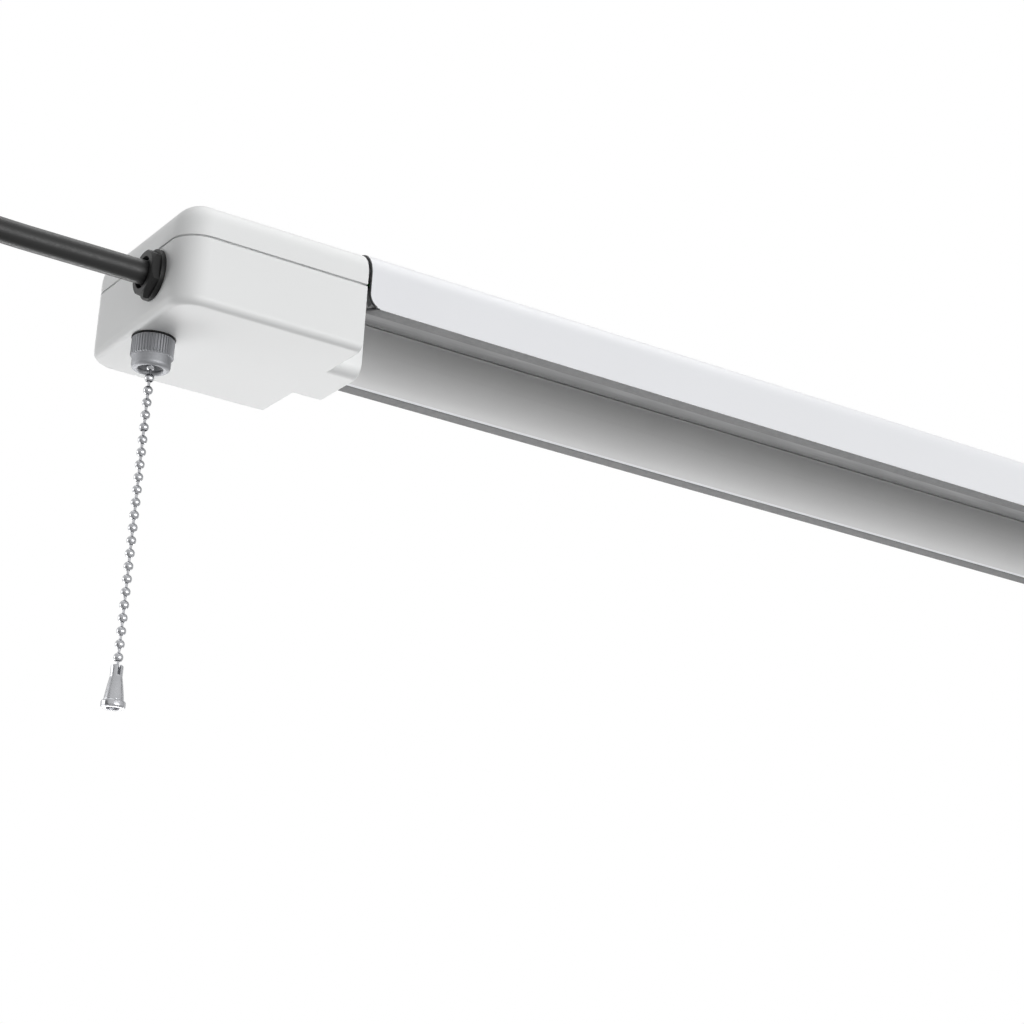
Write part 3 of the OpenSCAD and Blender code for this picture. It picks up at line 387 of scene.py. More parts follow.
def finish(name, light, dark, roughness, metallic=0.0, grain=0.7, depth=0.006, cloud=60, stretch=(1, 1, 1),
           specular=0.5):
    """A finish of one stuff: a slow drift between two close tones, and a grain in its gloss and relief.

    grain and cloud are the sizes of the grain and the drift in millimetres, and depth is the grain's height.
    """
    material, tree, shader = new_material(name)
    place = add_node(tree, "ShaderNodeTexCoord").outputs["Object"]
    place = add_node(tree, "ShaderNodeMapping", Vector=place, Scale=stretch).outputs[0]
    drift = add_node(tree, "ShaderNodeTexNoise", Vector=place, Scale=1 / (cloud * MM), Detail=2.0)
    tone = add_node(tree, "ShaderNodeMix", {"data_type": "RGBA"}, i0=drift.outputs[0], i6=colour(dark),
                    i7=colour(light))
    tree.links.new(tone.outputs[2], shader.inputs["Base Color"])
    grit = add_node(tree, "ShaderNodeTexNoise", Vector=place, Scale=1 / (grain * MM), Detail=3.0)
    gloss = add_node(tree, "ShaderNodeMapRange", i0=grit.outputs[0], i1=NOISE_LOW, i2=NOISE_HIGH,
                     i3=roughness - GLOSS_SPREAD, i4=roughness + GLOSS_SPREAD)
    tree.links.new(gloss.outputs[0], shader.inputs["Roughness"])
    relief = add_node(tree, "ShaderNodeBump", Height=grit.outputs[0], Distance=depth * MM, Strength=1.0)
    tree.links.new(relief.outputs[0], shader.inputs["Normal"])
    shader.inputs["Metallic"].default_value = metallic
    shader.inputs["Specular IOR Level"].default_value = specular
    return material


FINISHES = {
    # Powder coat on steel: a soft sheen with a faint orange peel
    "white_enamel": finish("white_powder_coat", "E9EAED", "E5E6E9", 0.42, grain=1.6, depth=0.008),
    # Satin aluminium reflector sheet, matt lacquered: a soft pale grey, a shade darker than the channel
    "trough_enamel": finish("satin_reflector_sheet", "D8D8D8", "D2D2D2", 0.45, grain=1.4, depth=0.005),
    # ABS from a spark-eroded mould: an even, fine matt grain, drawn coarser than the real 0.1 mm
    "cap_plastic": finish("moulded_white_abs", "E9EAEA", "E5E6E6", 0.48, grain=0.6, depth=0.01),
    # Extruded acrylic, frosted in the mass: soft and even, with faint lines from the die; its dark grey is
    # painted shade, for the shade deep in the trough, where the real lens is pale
    "lens_plastic": finish("frosted_acrylic_painted_shade", "636465", "5D5E5F", 0.5, grain=0.9, depth=0.003,
                           stretch=(0.05, 1, 1)),
    # Solder mask on aluminium board: flat white, slightly glossy
    "board_white": finish("white_solder_mask", "EAEAE4", "E2E2DC", 0.45),
    # Phosphor in clear silicone: a warm yellow, glossy
    "led_phosphor": finish("phosphor_in_silicone", "F2DE84", "E6CC66", 0.25),
    # Bright nickel plate over brass: clear reflections, a little softened by faint wipe marks
    "nickel": finish("bright_nickel_plate", "B6B7BA", "A4A5A8", 0.26, 1.0, grain=0.5, depth=0.001, cloud=4),
    # Zinc plate on steel: paler and duller than nickel
    "zinc": finish("zinc_plated_steel", "C0C3C8", "A8ACB2", 0.34, 1.0, grain=0.5, depth=0.003, cloud=3),
    # Moulded nylon: black, with the satin grain of its mould
    "black_nylon": finish("moulded_black_nylon", "161616", "111111", 0.5, grain=0.5, cloud=10, specular=0.3),
    # Extruded soft PVC jacket: a worn satin black, with a fine uneven skin
    "cord_jacket": finish("extruded_black_pvc", "222222", "1C1C1C", 0.45, grain=0.9, depth=0.01, cloud=14,
                          specular=0.35),
    # Moulded PVC plug: as black as the jacket, a little glossier, with a finer grain
    "plug_rubber": finish("moulded_black_pvc", "222222", "1B1B1B", 0.46, grain=0.6, depth=0.008, cloud=12),
    # Rolled brass strip, bright but handled
    "brass": finish("rolled_brass_strip", "D2AE62", "BE984C", 0.28, 1.0, grain=0.6, depth=0.003, cloud=5),
    # Phenolic moulding: deep brown, semi-matt
    "phenolic": finish("brown_phenolic", "42332A", "342720", 0.5, cloud=8),
    # Acetal moulding: ivory and waxy
    "acetal": finish("ivory_acetal", "E0DECF", "D6D3C2", 0.38, cloud=6),
    # Glass-epoxy board under green solder mask
    "circuit_board": finish("green_solder_mask", "35603F", "2C5235", 0.35, cloud=8),
    # Polyester film tape round the winding: glossy yellow
    "transformer_tape": finish("yellow_polyester_film", "D4C450", "C2B03C", 0.25, cloud=5),
    # Shrunk vinyl sleeve of a capacitor: dark blue and glossy
    "capacitor_sleeve": finish("blue_shrink_sleeve", "283A5C", "1E2E4C", 0.3, cloud=5),
    # Nylon connector shells: milky white
    "connector_nylon": finish("milky_nylon", "EDEDE8", "E2E2DC", 0.42, cloud=6),
    # Wire insulation in the four usual colours, smooth from the extruder
    "wire_black": finish("black_wire_pvc", "1C1C1C", "141414", 0.38, cloud=8),
    "wire_white": finish("white_wire_pvc", "E8E8E8", "DDDDDD", 0.38, cloud=8),
    "wire_green": finish("green_wire_pvc", "2B8236", "1F6C29", 0.38, cloud=8),
    "wire_red": finish("red_wire_pvc", "C4261C", "AE1C14", 0.38, cloud=8),
}

# Satin nickel plate over knurled brass: a duller, darker grey that takes no sharp reflection
SATIN_NICKEL = finish("satin_nickel_plate", "96979A", "8A8B8E", 0.6, 1.0, grain=0.5, depth=0.001, cloud=5)

# A dark grey in place of the white powder coat, on the lips and the sheet's cut ends: painted shade, for the
# shade they lie in under the channel and at the joints
LIP_PAINTED_SHADE = finish("lip_painted_shade_grey", "4E4F50", "494A4B", 0.6, grain=1.2, depth=0.003, cloud=8)


def dress(piece, body, slot, *nodes):
    """A finished piece rides on its body, has its finish and stands for its CAD nodes."""
    piece.data.materials.clear()
    piece.data.materials.append(FINISHES[slot])
    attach(piece, body)
    if nodes:
        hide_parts(*nodes)
    return piece


def coat_second(piece, test):
    """Gives a piece's second finish to its faces that pass a test."""
    edit(piece)
    pick("FACE", test)
    piece.active_material_index = 1
    bpy.ops.object.material_slot_assign()
    finish_edit()


# The CAD nodes that stay show their own finishes
SLOTS = {part["node"]: part["material_slot"] for part in frame["record"]["subparts"]}
for node_name, slot_name in SLOTS.items():
    materials = frame["nodes"][node_name].data.materials
    materials.clear()
    materials.append(FINISHES[slot_name])

mains_cord = dress(make_cord(), "root", "cord_jacket", "power_cord", "cord_coil", "cord_tail")

# Channel: folded sheet, open below, with rounded top edges and lips
CHANNEL_X = 559
CHANNEL_Y = 37
RIM_Z = -22
TOP_R = 10.4
SHEET_T = 1.2
LIP_W = 6.2
LIP_END_GAP = 0.4
END_ROUND_R = 5
HANG_X = 457
HANG_Y = 19
HANG_D = 5.2
SCREW_HOLE_D = 3.2
CHANNEL_SCREW_X = 552
GROUND_X = -535
BOARD_SCREW_X = (-360.75, -194.25, 194.25, 360.75)
# The painted lip shade starts this far up from the rim and in from the sides, and where an end leans this
# much
LIP_SHADE_RISE = 0.3
LIP_SHADE_INSET = 0.2
LIP_SHADE_LEAN = 0.15


def in_painted_lip_shade(face, places):
    """Tells whether a face of the channel is on its lips or on the sheet's cut ends, which take the painted
    shade.
    """
    lip = highest(places, Z) < RIM_Z + LIP_SHADE_RISE and max(abs(p.y) for p in places) < CHANNEL_Y - LIP_SHADE_INSET
    end = min(abs(p.x) for p in places) > CHANNEL_X - END_ROUND_R and abs(face.normal.x) > LIP_SHADE_LEAN
    return lip or end


def model_channel():
    piece = block("channel_shell", (-CHANNEL_X, -CHANNEL_Y, RIM_Z), (CHANNEL_X, CHANNEL_Y, 0))
    edit(piece)
    pick("FACE", lambda face, places: face.normal.z < -FACING or abs(face.normal.x) > FACING)
    bpy.ops.mesh.delete(type="FACE")
    pick("VERT", lambda vert, places: places[0].z < RIM_Z + NEAR)
    bpy.ops.mesh.bevel(offset=END_ROUND_R * MM, segments=8, affect="VERTICES")
    pick("EDGE", lambda edge, places: runs(places, X) and lowest(places, Z) > -NEAR)
    round_edges(TOP_R, 14)
    # The rims are folded inward into lips, which run on past the rounded corners to the channel's ends
    pick("EDGE", lambda edge, places: runs(places, X) and highest(places, Z) < RIM_Z + NEAR)
    push(0, 0, 0)
    along = (CHANNEL_X - LIP_END_GAP) / (CHANNEL_X - END_ROUND_R)
    inward = (CHANNEL_Y - LIP_W) / CHANNEL_Y
    bpy.ops.transform.resize(value=(along, inward, 1), center_override=(0, 0, 0))
    close_up()
    finish_edit()
    modify(piece, "SOLIDIFY", thickness=SHEET_T * MM, offset=-1, use_even_offset=True)
    holes = [drill(sx * HANG_X, sy * HANG_Y, 0, 0, HANG_D) for sx, sy in QUARTERS]
    places = [(sx * CHANNEL_SCREW_X, sy * HANG_Y) for sx, sy in QUARTERS]
    places += [(GROUND_X, -HANG_Y), *[(x, 0) for x in BOARD_SCREW_X]]
    holes += [drill(x, y, 0, 0, SCREW_HOLE_D, 24) for x, y in places]
    carve(piece, joined("holes", holes))
    soften(piece, 0.25)
    smooth(piece)
    dress(piece, "root", "white_enamel", "channel")
    # Painted shade: the lips and the cut ends take a dark grey in place of the white enamel
    piece.data.materials.append(LIP_PAINTED_SHADE)
    coat_second(piece, in_painted_lip_shade)


# Reflector: a flat under the channel's top, a step beside the lens, a round flank and a foot on the lip
LENS_Y = 10.2
LENS_Z = -6.6
LENS_X = 556
LENS_EDGE_R = 1.4
LENS_T = 1.1
FLAT_Z = -2
STEP_Y = 10.5
STEP_Z = -6.4
FLANK_END = Vector((0, 31, -20.8))
FOOT_Y = 35.5
REFLECTOR_T = 0.8
REFLECTOR_X = 558.7
NOTCH_L = 2
NOTCH_Y = (23, 37)
NOTCH_Z = (-23, -9)


def model_reflector():
    bpy.ops.object.select_all(action="DESELECT")
    bpy.ops.mesh.primitive_plane_add(size=1, location=Vector((0, STEP_Y / 2, FLAT_Z)) * MM)
    bpy.context.object.scale = (2 * REFLECTOR_X * MM, STEP_Y * MM, 1)
    piece = settle("reflector_sheet")
    edit(piece)
    pick("EDGE", lambda edge, places: runs(places, X) and lowest(places, Y) > STEP_Y - NEAR)
    push(0, 0, STEP_Z - FLAT_Z)
    # The flank is an arc that leaves the step level and ends where the foot starts
    across = FLANK_END.y - STEP_Y
    down = STEP_Z - FLANK_END.z
    radius = (across * across + down * down) / (2 * down)
    sweep = math.atan2(across, radius - down)
    centre = Vector((0, STEP_Y, STEP_Z - radius)) * MM
    bpy.ops.mesh.spin(steps=20, angle=sweep, center=centre, axis=(1, 0, 0))
    push(0, FOOT_Y - FLANK_END.y, 0)
    close_up()
    finish_edit()
    modify(piece, "MIRROR", use_axis=(False, True, False), merge_threshold=MERGE * MM)
    edit(piece)
    close_up()
    # An open sheet has no inside, so its largest face is made to look down, and the rest follow it
    mesh = bmesh.from_edit_mesh(piece.data)
    if max(mesh.faces, key=lambda face: face.calc_area()).normal.z > 0:
        bpy.ops.mesh.flip_normals()
    finish_edit()
    modify(piece, "SOLIDIFY", thickness=REFLECTOR_T * MM, offset=-1, use_even_offset=True)
    holes = [drill(x, 0, FLAT_Z, FLAT_Z, SCREW_HOLE_D, 24) for x in BOARD_SCREW_X]
    holes += [spanned("notch", (end * (REFLECTOR_X - NOTCH_L), end * REFLECTOR_X),
                      [side * y for y in NOTCH_Y], NOTCH_Z) for end, side in QUARTERS]
    carve(piece, joined("holes", holes))
    smooth(piece)
    dress(piece, "root", "trough_enamel", "reflector")


def model_lens():
    piece = block("strip_lens", (-LENS_X, -LENS_Y, LENS_Z), (LENS_X, LENS_Y, FLAT_Z))
    edit(piece)
    pick("FACE", lambda face, places: face.normal.z > FACING or abs(face.normal.x) > FACING)
    bpy.ops.mesh.delete(type="FACE")
    pick("EDGE", lambda edge, places: runs(places, X) and highest(places, Z) < LENS_Z + NEAR)
    round_edges(LENS_EDGE_R)
    finish_edit()
    modify(piece, "SOLIDIFY", thickness=LENS_T * MM, offset=-1, use_even_offset=True)
    soften(piece, 0.15)
    smooth(piece)
    dress(piece, "root", "lens_plastic", "lens")


# End caps, each in its own frame: x runs from the end face to the channel
FAR_END_X = 591.8
SWITCH_CAP_L = 68.2
FAR_CAP_L = 32
CAP_Y = 37
CAP_LOW = -38.4
CAP_TOP = -1
SPLIT_Z = -14.4
CORNER_R = 10
FOOT_R = 3
CAP_TOP_R = 9.4
WALL_T = 2.2
SEAM_H = 0.75
SEAM_SET = 1.5
JOINT_SET = 0.4
NOSE_L = 11
NOSE_Y = 16
NOSE_R = 5
NOSE_TIP_R = 0.5
NOSE_TOP = -7.1
NOSE_GAP = 0.3
POST_X = 14
POST_Y = 27.2
POST_IN = 8
POST_D = 8
WELL_D = 6.2
WELL_DEPTH = 3.2
TONGUE_Y = (13.2, 24.8)
TONGUE_Z = (-4.1, -1.3)
TONGUE_END = 13.8
TONGUE_HOLE = 7.8
GLAND_HOLE_D = 13.2
SWITCH_HOLE_D = 9.8
# The pull switch's axis, which its nut, chain and bell hang on
SWITCH_X = -619


def end_corners(places):
    return runs(places, Z) and highest(places, X) < NEAR


def model_housing(name, length):
    """The lower half of a cap: a deep tray with a nose that reaches under the lens."""
    end = length - JOINT_SET
    piece = block(name, (0, -CAP_Y, CAP_LOW), (end, CAP_Y, SPLIT_Z - SEAM_H))
    edit(piece)
    pick("EDGE", lambda edge, places: end_corners(places))
    round_edges(CORNER_R, 14)
    pick("EDGE", lambda edge, places: highest(places, Z) < CAP_LOW + NEAR and lowest(places, X) < end - NEAR)
    round_edges(FOOT_R, 7)
    pick("FACE", lambda face, places: face.normal.z > FACING)
    bpy.ops.mesh.inset(thickness=SEAM_SET * MM)
    push(0, 0, SEAM_H)
    bpy.ops.mesh.inset(thickness=(WALL_T - SEAM_SET) * MM)
    push(0, 0, CAP_LOW + WALL_T - SPLIT_Z)
    finish_edit()
    nose = block("nose", (length - WALL_T, -NOSE_Y, CAP_LOW), (length + NOSE_L, NOSE_Y, NOSE_TOP))
    edit(nose)
    pick("EDGE", lambda edge, places: runs(places, X) and highest(places, Z) < CAP_LOW + NEAR)
    round_edges(NOSE_R, 8)
    pick("EDGE", lambda edge, places: lowest(places, X) > length + NOSE_L - NEAR)
    round_edges(NOSE_TIP_R, 3)
    finish_edit()
    carve(nose, block("step", (length - WALL_T - PAST, -NOSE_Y - PAST, SPLIT_Z),
                      (length + NOSE_GAP, NOSE_Y + PAST, 0)))
    carve(piece, nose, "UNION")
    cavity = block("cavity", (length - 2 * WALL_T, WALL_T - NOSE_Y, CAP_LOW + WALL_T),
                   (length + NOSE_L - WALL_T, NOSE_Y - WALL_T, NOSE_TOP - WALL_T))
    carve(piece, cavity)
    soften(piece, 0.15, angle=50)
    return piece


def model_cover(name, length, posts):
    """The upper half of a cap: a rounded lid with screw wells and two tongues under the channel's top."""
    end = length - JOINT_SET
    piece = block(name, (0, -CAP_Y, SPLIT_Z), (end, CAP_Y, CAP_TOP))
    edit(piece)
    pick("EDGE", lambda edge, places: end_corners(places))
    round_edges(CORNER_R, 14)
    pick("EDGE", lambda edge, places: lowest(places, Z) > CAP_TOP - NEAR and lowest(places, X) < end - NEAR)
    round_edges(CAP_TOP_R, 14)
    pick("FACE", lambda face, places: face.normal.z < -FACING)
    bpy.ops.mesh.inset(thickness=WALL_T * MM)
    push(0, 0, CAP_TOP - WALL_T - SPLIT_Z)
    bpy.ops.mesh.region_to_loop()
    round_edges(CAP_TOP_R - WALL_T, 8)
    finish_edit()
    for x, y in posts:
        carve(piece, rod("post", (x, y, SPLIT_Z), (x, y, CAP_TOP - WALL_T / 2), POST_D), "UNION")
    for side in (-1, 1):
        across = [side * y for y in TONGUE_Y]
        carve(piece, spanned("tongue", (length - WALL_T, length + TONGUE_END), across, TONGUE_Z), "UNION")
        carve(piece, drill(length + TONGUE_HOLE, side * HANG_Y, *TONGUE_Z, SCREW_HOLE_D, 24))
    for x, y in posts:
        carve(piece, rod("well", (x, y, CAP_TOP - WELL_DEPTH), (x, y, PAST), WELL_D))
        carve(piece, drill(x, y, SPLIT_Z, 0, SCREW_HOLE_D, 24))
    soften(piece, 0.2, angle=50)
    return piece


def post_places(length):
    return [(POST_X, -POST_Y), (POST_X, POST_Y), (length - POST_IN, -POST_Y), (length - POST_IN, POST_Y)]


def placed(piece, x, flip=False):
    """Moves a cap's piece to its end of the light, mirrored at the far end."""
    twin = copied(piece, piece.name.replace("local_", ""), x, 0, 0, flip)
    bpy.data.objects.remove(piece, do_unlink=True)
    smooth(twin)
    return twin


def model_caps():
    housing = placed(model_housing("local_switch_cap_tray", SWITCH_CAP_L), SWITCH_END_X)
    dress(housing, "root", "cap_plastic", "switch_housing")
    carve(housing, rod("hole", (SWITCH_END_X - PAST, GLAND_Y, GLAND_Z),
                       (SWITCH_END_X + PAST, GLAND_Y, GLAND_Z), GLAND_HOLE_D))
    carve(housing, drill(SWITCH_X, 0, CAP_LOW, CAP_LOW, SWITCH_HOLE_D))
    smooth(housing)
    cover = placed(model_cover("local_switch_cap_lid", SWITCH_CAP_L, post_places(SWITCH_CAP_L)), SWITCH_END_X)
    dress(cover, "root", "cap_plastic", "switch_cover")
    housing = placed(model_housing("local_far_cap_tray", FAR_CAP_L), FAR_END_X, True)
    dress(housing, "root", "cap_plastic", "far_housing")
    cover = placed(model_cover("local_far_cap_lid", FAR_CAP_L, post_places(FAR_CAP_L)[:2]), FAR_END_X, True)
    dress(cover, "root", "cap_plastic", "far_cover")


# Pull switch: the knurled nut and the bushing's mouth. Depths run down from the cap's underside.
NUT_R = 7.2
NUT_BORE_R = 4.8
KNURL_TOP = -0.85
KNURL_LOW = -6.7
KNURL_RIBS = 44
RIB_SIDES = 4
GROOVE_DEPTH = 0.45
SLEEVE_R = 6.55
SLEEVE_LOW = -9.9
MOUTH_R = 1.5
MOUTH_IN_R = 1
# A thin black ring at the nut's top: painted shade, for the shadow gap between the nut and the cap
SHADE_RING_R = 7.4
SHADE_RING_H = 0.4


def model_nut():
    """A turned collar on a thin black ring of painted shade, for the shadow gap at the cap, knurled with
    straight ribs above, with a rounded mouth below.
    """
    sides = RIB_SIDES * KNURL_RIBS
    mouth_mid_r = SLEEVE_R - MOUTH_R
    mouth_low = SLEEVE_LOW - MOUTH_R
    profile = [(NUT_BORE_R, 0), (SHADE_RING_R, 0), (SHADE_RING_R, -SHADE_RING_H), (6.6, -SHADE_RING_H), (6.95, KNURL_TOP + 0.25),
               (NUT_R, KNURL_TOP), (NUT_R, KNURL_LOW), (6.7, KNURL_LOW - 0.5), (SLEEVE_R, KNURL_LOW - 0.7),
               *arc(mouth_mid_r, SLEEVE_LOW, MOUTH_R, 0, -90, 7),
               *arc(mouth_mid_r, mouth_low + MOUTH_IN_R, MOUTH_IN_R, -90, -180, 5),
               (mouth_mid_r - MOUTH_IN_R, SLEEVE_LOW - 0.35), (NUT_BORE_R, SLEEVE_LOW - 0.3)]
    piece = turned("knurled_collar", (SWITCH_X, 0, CAP_LOW), UP, profile, sides)
    edit(piece)

    def in_groove(vert, places):
        away = places[0] - Vector((SWITCH_X, 0, places[0].z))
        turn = round(math.atan2(away.y, away.x) / (2 * math.pi) * sides) % RIB_SIDES
        return turn in (1, 2) and away.length > NUT_R - NEAR and places[0].z < CAP_LOW - SHADE_RING_H - NEAR
    pick("VERT", in_groove)
    shrink = (NUT_R - GROOVE_DEPTH) / NUT_R
    bpy.ops.transform.resize(value=(shrink, shrink, 1), center_override=Vector((SWITCH_X, 0, 0)) * MM)
    finish_edit()
    smooth(piece, 30)
    dress(piece, "root", "nickel", "knurled_nut")
    piece.data.materials[0] = SATIN_NICKEL
    # The thin ring at the top is black: painted shade, for the shadow gap under the cap
    piece.data.materials.append(FINISHES["black_nylon"])
    coat_second(piece, lambda face, places: lowest(places, Z) > CAP_LOW - SHADE_RING_H - NEAR)


def model_bushing():
    """A barrel in the nut, with a flange inside the cap and a mouth that widens downward."""
    profile = [(2.2, 5.14), (4.2, 5.14), (4.2, 4.7), (3.5, 4.7), (3.5, 3.2), (6.1, 3.2), (6.1, 2.2),
               (4.7, 2.2), (4.7, -9.9), (4.5, -10.1), (4.3, -10.1), (2.35, -7.4), (2.2, -7.1)]
    piece = turned("switch_bushing_barrel", (SWITCH_X, 0, CAP_LOW), UP, profile)
    smooth(piece, 30)
    dress(piece, "root", "nickel", "switch_bushing")
    piece.data.materials[0] = SATIN_NICKEL


# The switch's return spring, a coil that rides whole on the slider
SPRING_R = 3
SPRING_WIRE_R = 0.3
SPRING_TURNS = 4


def model_spring():
    low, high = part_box("slider_spring")
    foot, head = low[2] / MM, high[2] / MM
    rise = (head - foot - 2 * SPRING_WIRE_R) / SPRING_TURNS
    bpy.ops.object.select_all(action="DESELECT")
    bpy.ops.mesh.primitive_circle_add(vertices=8, radius=SPRING_WIRE_R * MM, rotation=(math.pi / 2, 0, 0),
                                      location=Vector((SPRING_R, 0, foot + SPRING_WIRE_R)) * MM)
    coil = settle("spring_coil")
    modify(coil, "SCREW", angle=2 * math.pi, iterations=SPRING_TURNS, steps=24, render_steps=24,
           screw_offset=rise * MM)
    edit(coil)
    close_up()
    bpy.ops.mesh.fill_holes(sides=0)
    close_up()
    finish_edit()
    piece = copied(coil, "return_spring", SWITCH_X, 0, 0)
    bpy.data.objects.remove(coil, do_unlink=True)
    smooth(piece, 50)
    dress(piece, "pull", SLOTS["slider_spring"], "slider_spring")
    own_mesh(piece)


# Pull chain: hollow beads on links. Bead 0 is the one below the nut that the chain swings at.
BEAD_R = 1.6
BEAD_PITCH = 4.35
FIRST_BEAD_Z = -52.6
TOP_BEAD = -7
LAST_BEAD = 22
# Each length's body, with its CAD node and its first and last bead
CHAIN_PARTS = {"pull": ("chain_top", TOP_BEAD, 0),
               "chain_upper": ("chain_upper", 1, 4),
               "chain_lower": ("chain_lower", 5, LAST_BEAD)}
# A bead's inside, from its lower hole up, and the wider lower hole of a bead that the next length swings in
BEAD_HOLLOW = [(0.66, -1.1), (1.15, -0.4), (1.15, 0.4), (0.66, 1.1)]
SWING_HOLLOW = [(1.0, -0.9), (1.2, -0.4), (1.15, 0.4), (0.66, 1.1)]
# A link's round head, as radii and depths below its bead's middle, and the pin that it thins to
LINK_R = 0.46
LINK_TOP = 0.2
LINK_HEAD = [(POLE, LINK_TOP), (0.8, LINK_TOP), (0.85, 0.45), (0.5, 0.6)]
LINK_NECK = 1.3


def bead_z(number):
    return FIRST_BEAD_Z - BEAD_PITCH * number


def model_chain():
    place = (SWITCH_X, 0, 0)
    bead = turned("bead", place, UP, [*arc(0, 0, BEAD_R, 66, -66, 11), *BEAD_HOLLOW], 24)
    swing_bead = turned("swing_bead", place, UP, [*arc(0, 0, BEAD_R, 66, -46, 10), *SWING_HOLLOW], 24)
    upper_half = [(r, -t) for r, t in [*LINK_HEAD, (LINK_R, LINK_NECK)]]
    lower_half = [(r, -t - BEAD_PITCH) for r, t in reversed(upper_half)]
    link = turned("link", place, UP, upper_half + lower_half, 12)
    for body, (node, first, last) in CHAIN_PARTS.items():
        beads = [copied(bead, "bead_copy", 0, 0, bead_z(k)) for k in range(first, last)]
        beads.append(copied(swing_bead, "bead_copy", 0, 0, bead_z(last)))
        # A length also holds the link above it, but the slider has the topmost bead
        links = [copied(link, "link_copy", 0, 0, bead_z(k)) for k in range(max(first - 1, TOP_BEAD), last)]
        piece = joined(node + "_beads", beads + links)
        smooth(piece, 60)
        dress(piece, body, "nickel", node)
    for pattern in (bead, swing_bead, link):
        bpy.data.objects.remove(pattern, do_unlink=True)


# Bell at the chain's end: a slotted sleeve, a flared skirt and a rolled rim
BELL_TOP = -150.9
BELL_FLOOR = -3.9
BELL_SLOT_W = 1
BELL_SLOT_DEPTH = 3.4
BELL_RIM_R = 0.8
BELL_RIM_MID_R = 3.05


def model_bell():
    profile = [(POLE, BELL_FLOOR), (0.86, BELL_FLOOR), (0.86, -0.15), (1.0, 0), (1.7, 0), (1.95, -0.25),
               (1.95, -3.9), (2.05, -4.2), (2.45, -6.4), (2.85, -9.0), (3.15, -11.2), (3.2, -11.45),
               *arc(BELL_RIM_MID_R, -12.3, BELL_RIM_R, 80, 0, 5),
               *arc(BELL_RIM_MID_R, -13.3, BELL_RIM_R, 0, -90, 5),
               (2.45, -14.1), (2.3, -13.95), (2.2, -13.1), (POLE, -13.0)]
    place = (SWITCH_X, 0, BELL_TOP)
    piece = turned("pull_bell", place, UP, profile)
    carve(piece, block("slot", (SWITCH_X - BELL_SLOT_W / 2, -PAST, BELL_TOP - BELL_SLOT_DEPTH),
                       (SWITCH_X + BELL_SLOT_W / 2, PAST, BELL_TOP + PAST)))
    # The last link: its head in the chain's last bead, its pin down to the sleeve's floor
    middle = bead_z(LAST_BEAD) - BELL_TOP
    head = [(r, middle - t) for r, t in LINK_HEAD]
    pin = [(LINK_R, middle - 1.2), (LINK_R, BELL_FLOOR + 0.05), (POLE, BELL_FLOOR + 0.05)]
    link = turned("link", place, UP, head + pin, 12)
    piece = joined("pull_bell", [piece, link])
    smooth(piece, 30)
    dress(piece, "chain_bell", "nickel", "chain_bell")


# Gland: a flanged body, a chamfered hexagon nut and the seal round the cord
FLANGE_T = 1.7
HEXAGON_D = 17.2
HEXAGON_BORE_D = 11
CHAMFER_R = 7.3
CHAMFER_H = 1.3


def model_gland():
    place = (SWITCH_END_X, GLAND_Y, GLAND_Z)
    outward = (-1, 0, 0)
    body = turned("gland_flange", place, outward,
                  [(5.2, FLANGE_T), (8.35, FLANGE_T), (8.6, 1.6), (8.7, 1.35), (8.7, 0.15), (8.55, 0),
                   (6.5, 0), (6.5, -6.2), (4.25, -6.2), (4.25, -1.5), (5.2, -1.5)], 64)
    smooth(body, 30)
    dress(body, "root", "black_nylon", "gland_body")
    nut = rod("gland_hexagon", (SWITCH_END_X - GLAND_H, GLAND_Y, GLAND_Z),
              (SWITCH_END_X - FLANGE_T, GLAND_Y, GLAND_Z), HEXAGON_D, 6)
    edit(nut)
    # Turned until its highest corner stands straight up
    mesh = bmesh.from_edit_mesh(nut.data)
    highest_corner = max((v.co / MM - Vector(place) for v in mesh.verts), key=lambda away: away.z)
    lean = math.atan2(highest_corner.y, highest_corner.z)
    bpy.ops.mesh.select_all(action="SELECT")
    bpy.ops.transform.rotate(value=lean, orient_axis="X", center_override=Vector(place) * MM)
    finish_edit()
    around = HEXAGON_D / 2 + NEAR
    chamfer = turned("chamfer", place, outward,
                     [(POLE, GLAND_H), (CHAMFER_R, GLAND_H), (around, GLAND_H - CHAMFER_H),
                      (around, FLANGE_T / 2), (POLE, FLANGE_T / 2)], 64)
    carve(nut, chamfer, "INTERSECT")
    carve(nut, rod("bore", (SWITCH_END_X - GLAND_H - PAST, GLAND_Y, GLAND_Z),
                   (SWITCH_END_X + PAST, GLAND_Y, GLAND_Z), HEXAGON_BORE_D))
    soften(nut, 0.2, angle=30)
    smooth(nut, 25)
    dress(nut, "root", "black_nylon", "gland_nut")
    seal = turned("gland_seal_ring", place, outward,
                  [(4.12, 2.6), (4.5, 3.0), (4.9, 3.0), (5.1, 2.8), (5.1, 0), (4.2, 0)])
    smooth(seal, 30)
    dress(seal, "root", "cord_jacket", "gland_seal")


# Screws: pan heads with a cross recess, sunk in the covers' wells and standing on the channel's top
SHANK_R = 1.45
SHANK_TIP_R = 0.9
CROSS_HALF = (1.6, 0.38)
CROSS_DEPTH = 1.1
# A pan head's dome, as shares of its radius and its height
DOME_SHARES = [(1, 0.35), (0.96, 0.6), (0.86, 0.82), (0.7, 0.94), (0.4, 1)]


def model_screw(head_d, head_h, length):
    head_r = head_d / 2
    dome = [(head_r * out, head_h * up) for out, up in DOME_SHARES]
    piece = turned("screw", (0, 0, 0), UP,
                   [(POLE, -length), (SHANK_TIP_R, -length), (SHANK_R, -length + 1), (SHANK_R, 0),
                    (head_r - 0.1, 0), (head_r, 0.12), *dome, (POLE, head_h)], 32)
    for half_x, half_y in (CROSS_HALF, CROSS_HALF[::-1]):
        carve(piece, block("cross", (-half_x, -half_y, head_h - CROSS_DEPTH),
                           (half_x, half_y, head_h + PAST)))
    soften(piece, 0.06, angle=50, segments=1)
    smooth(piece, 30)
    return piece


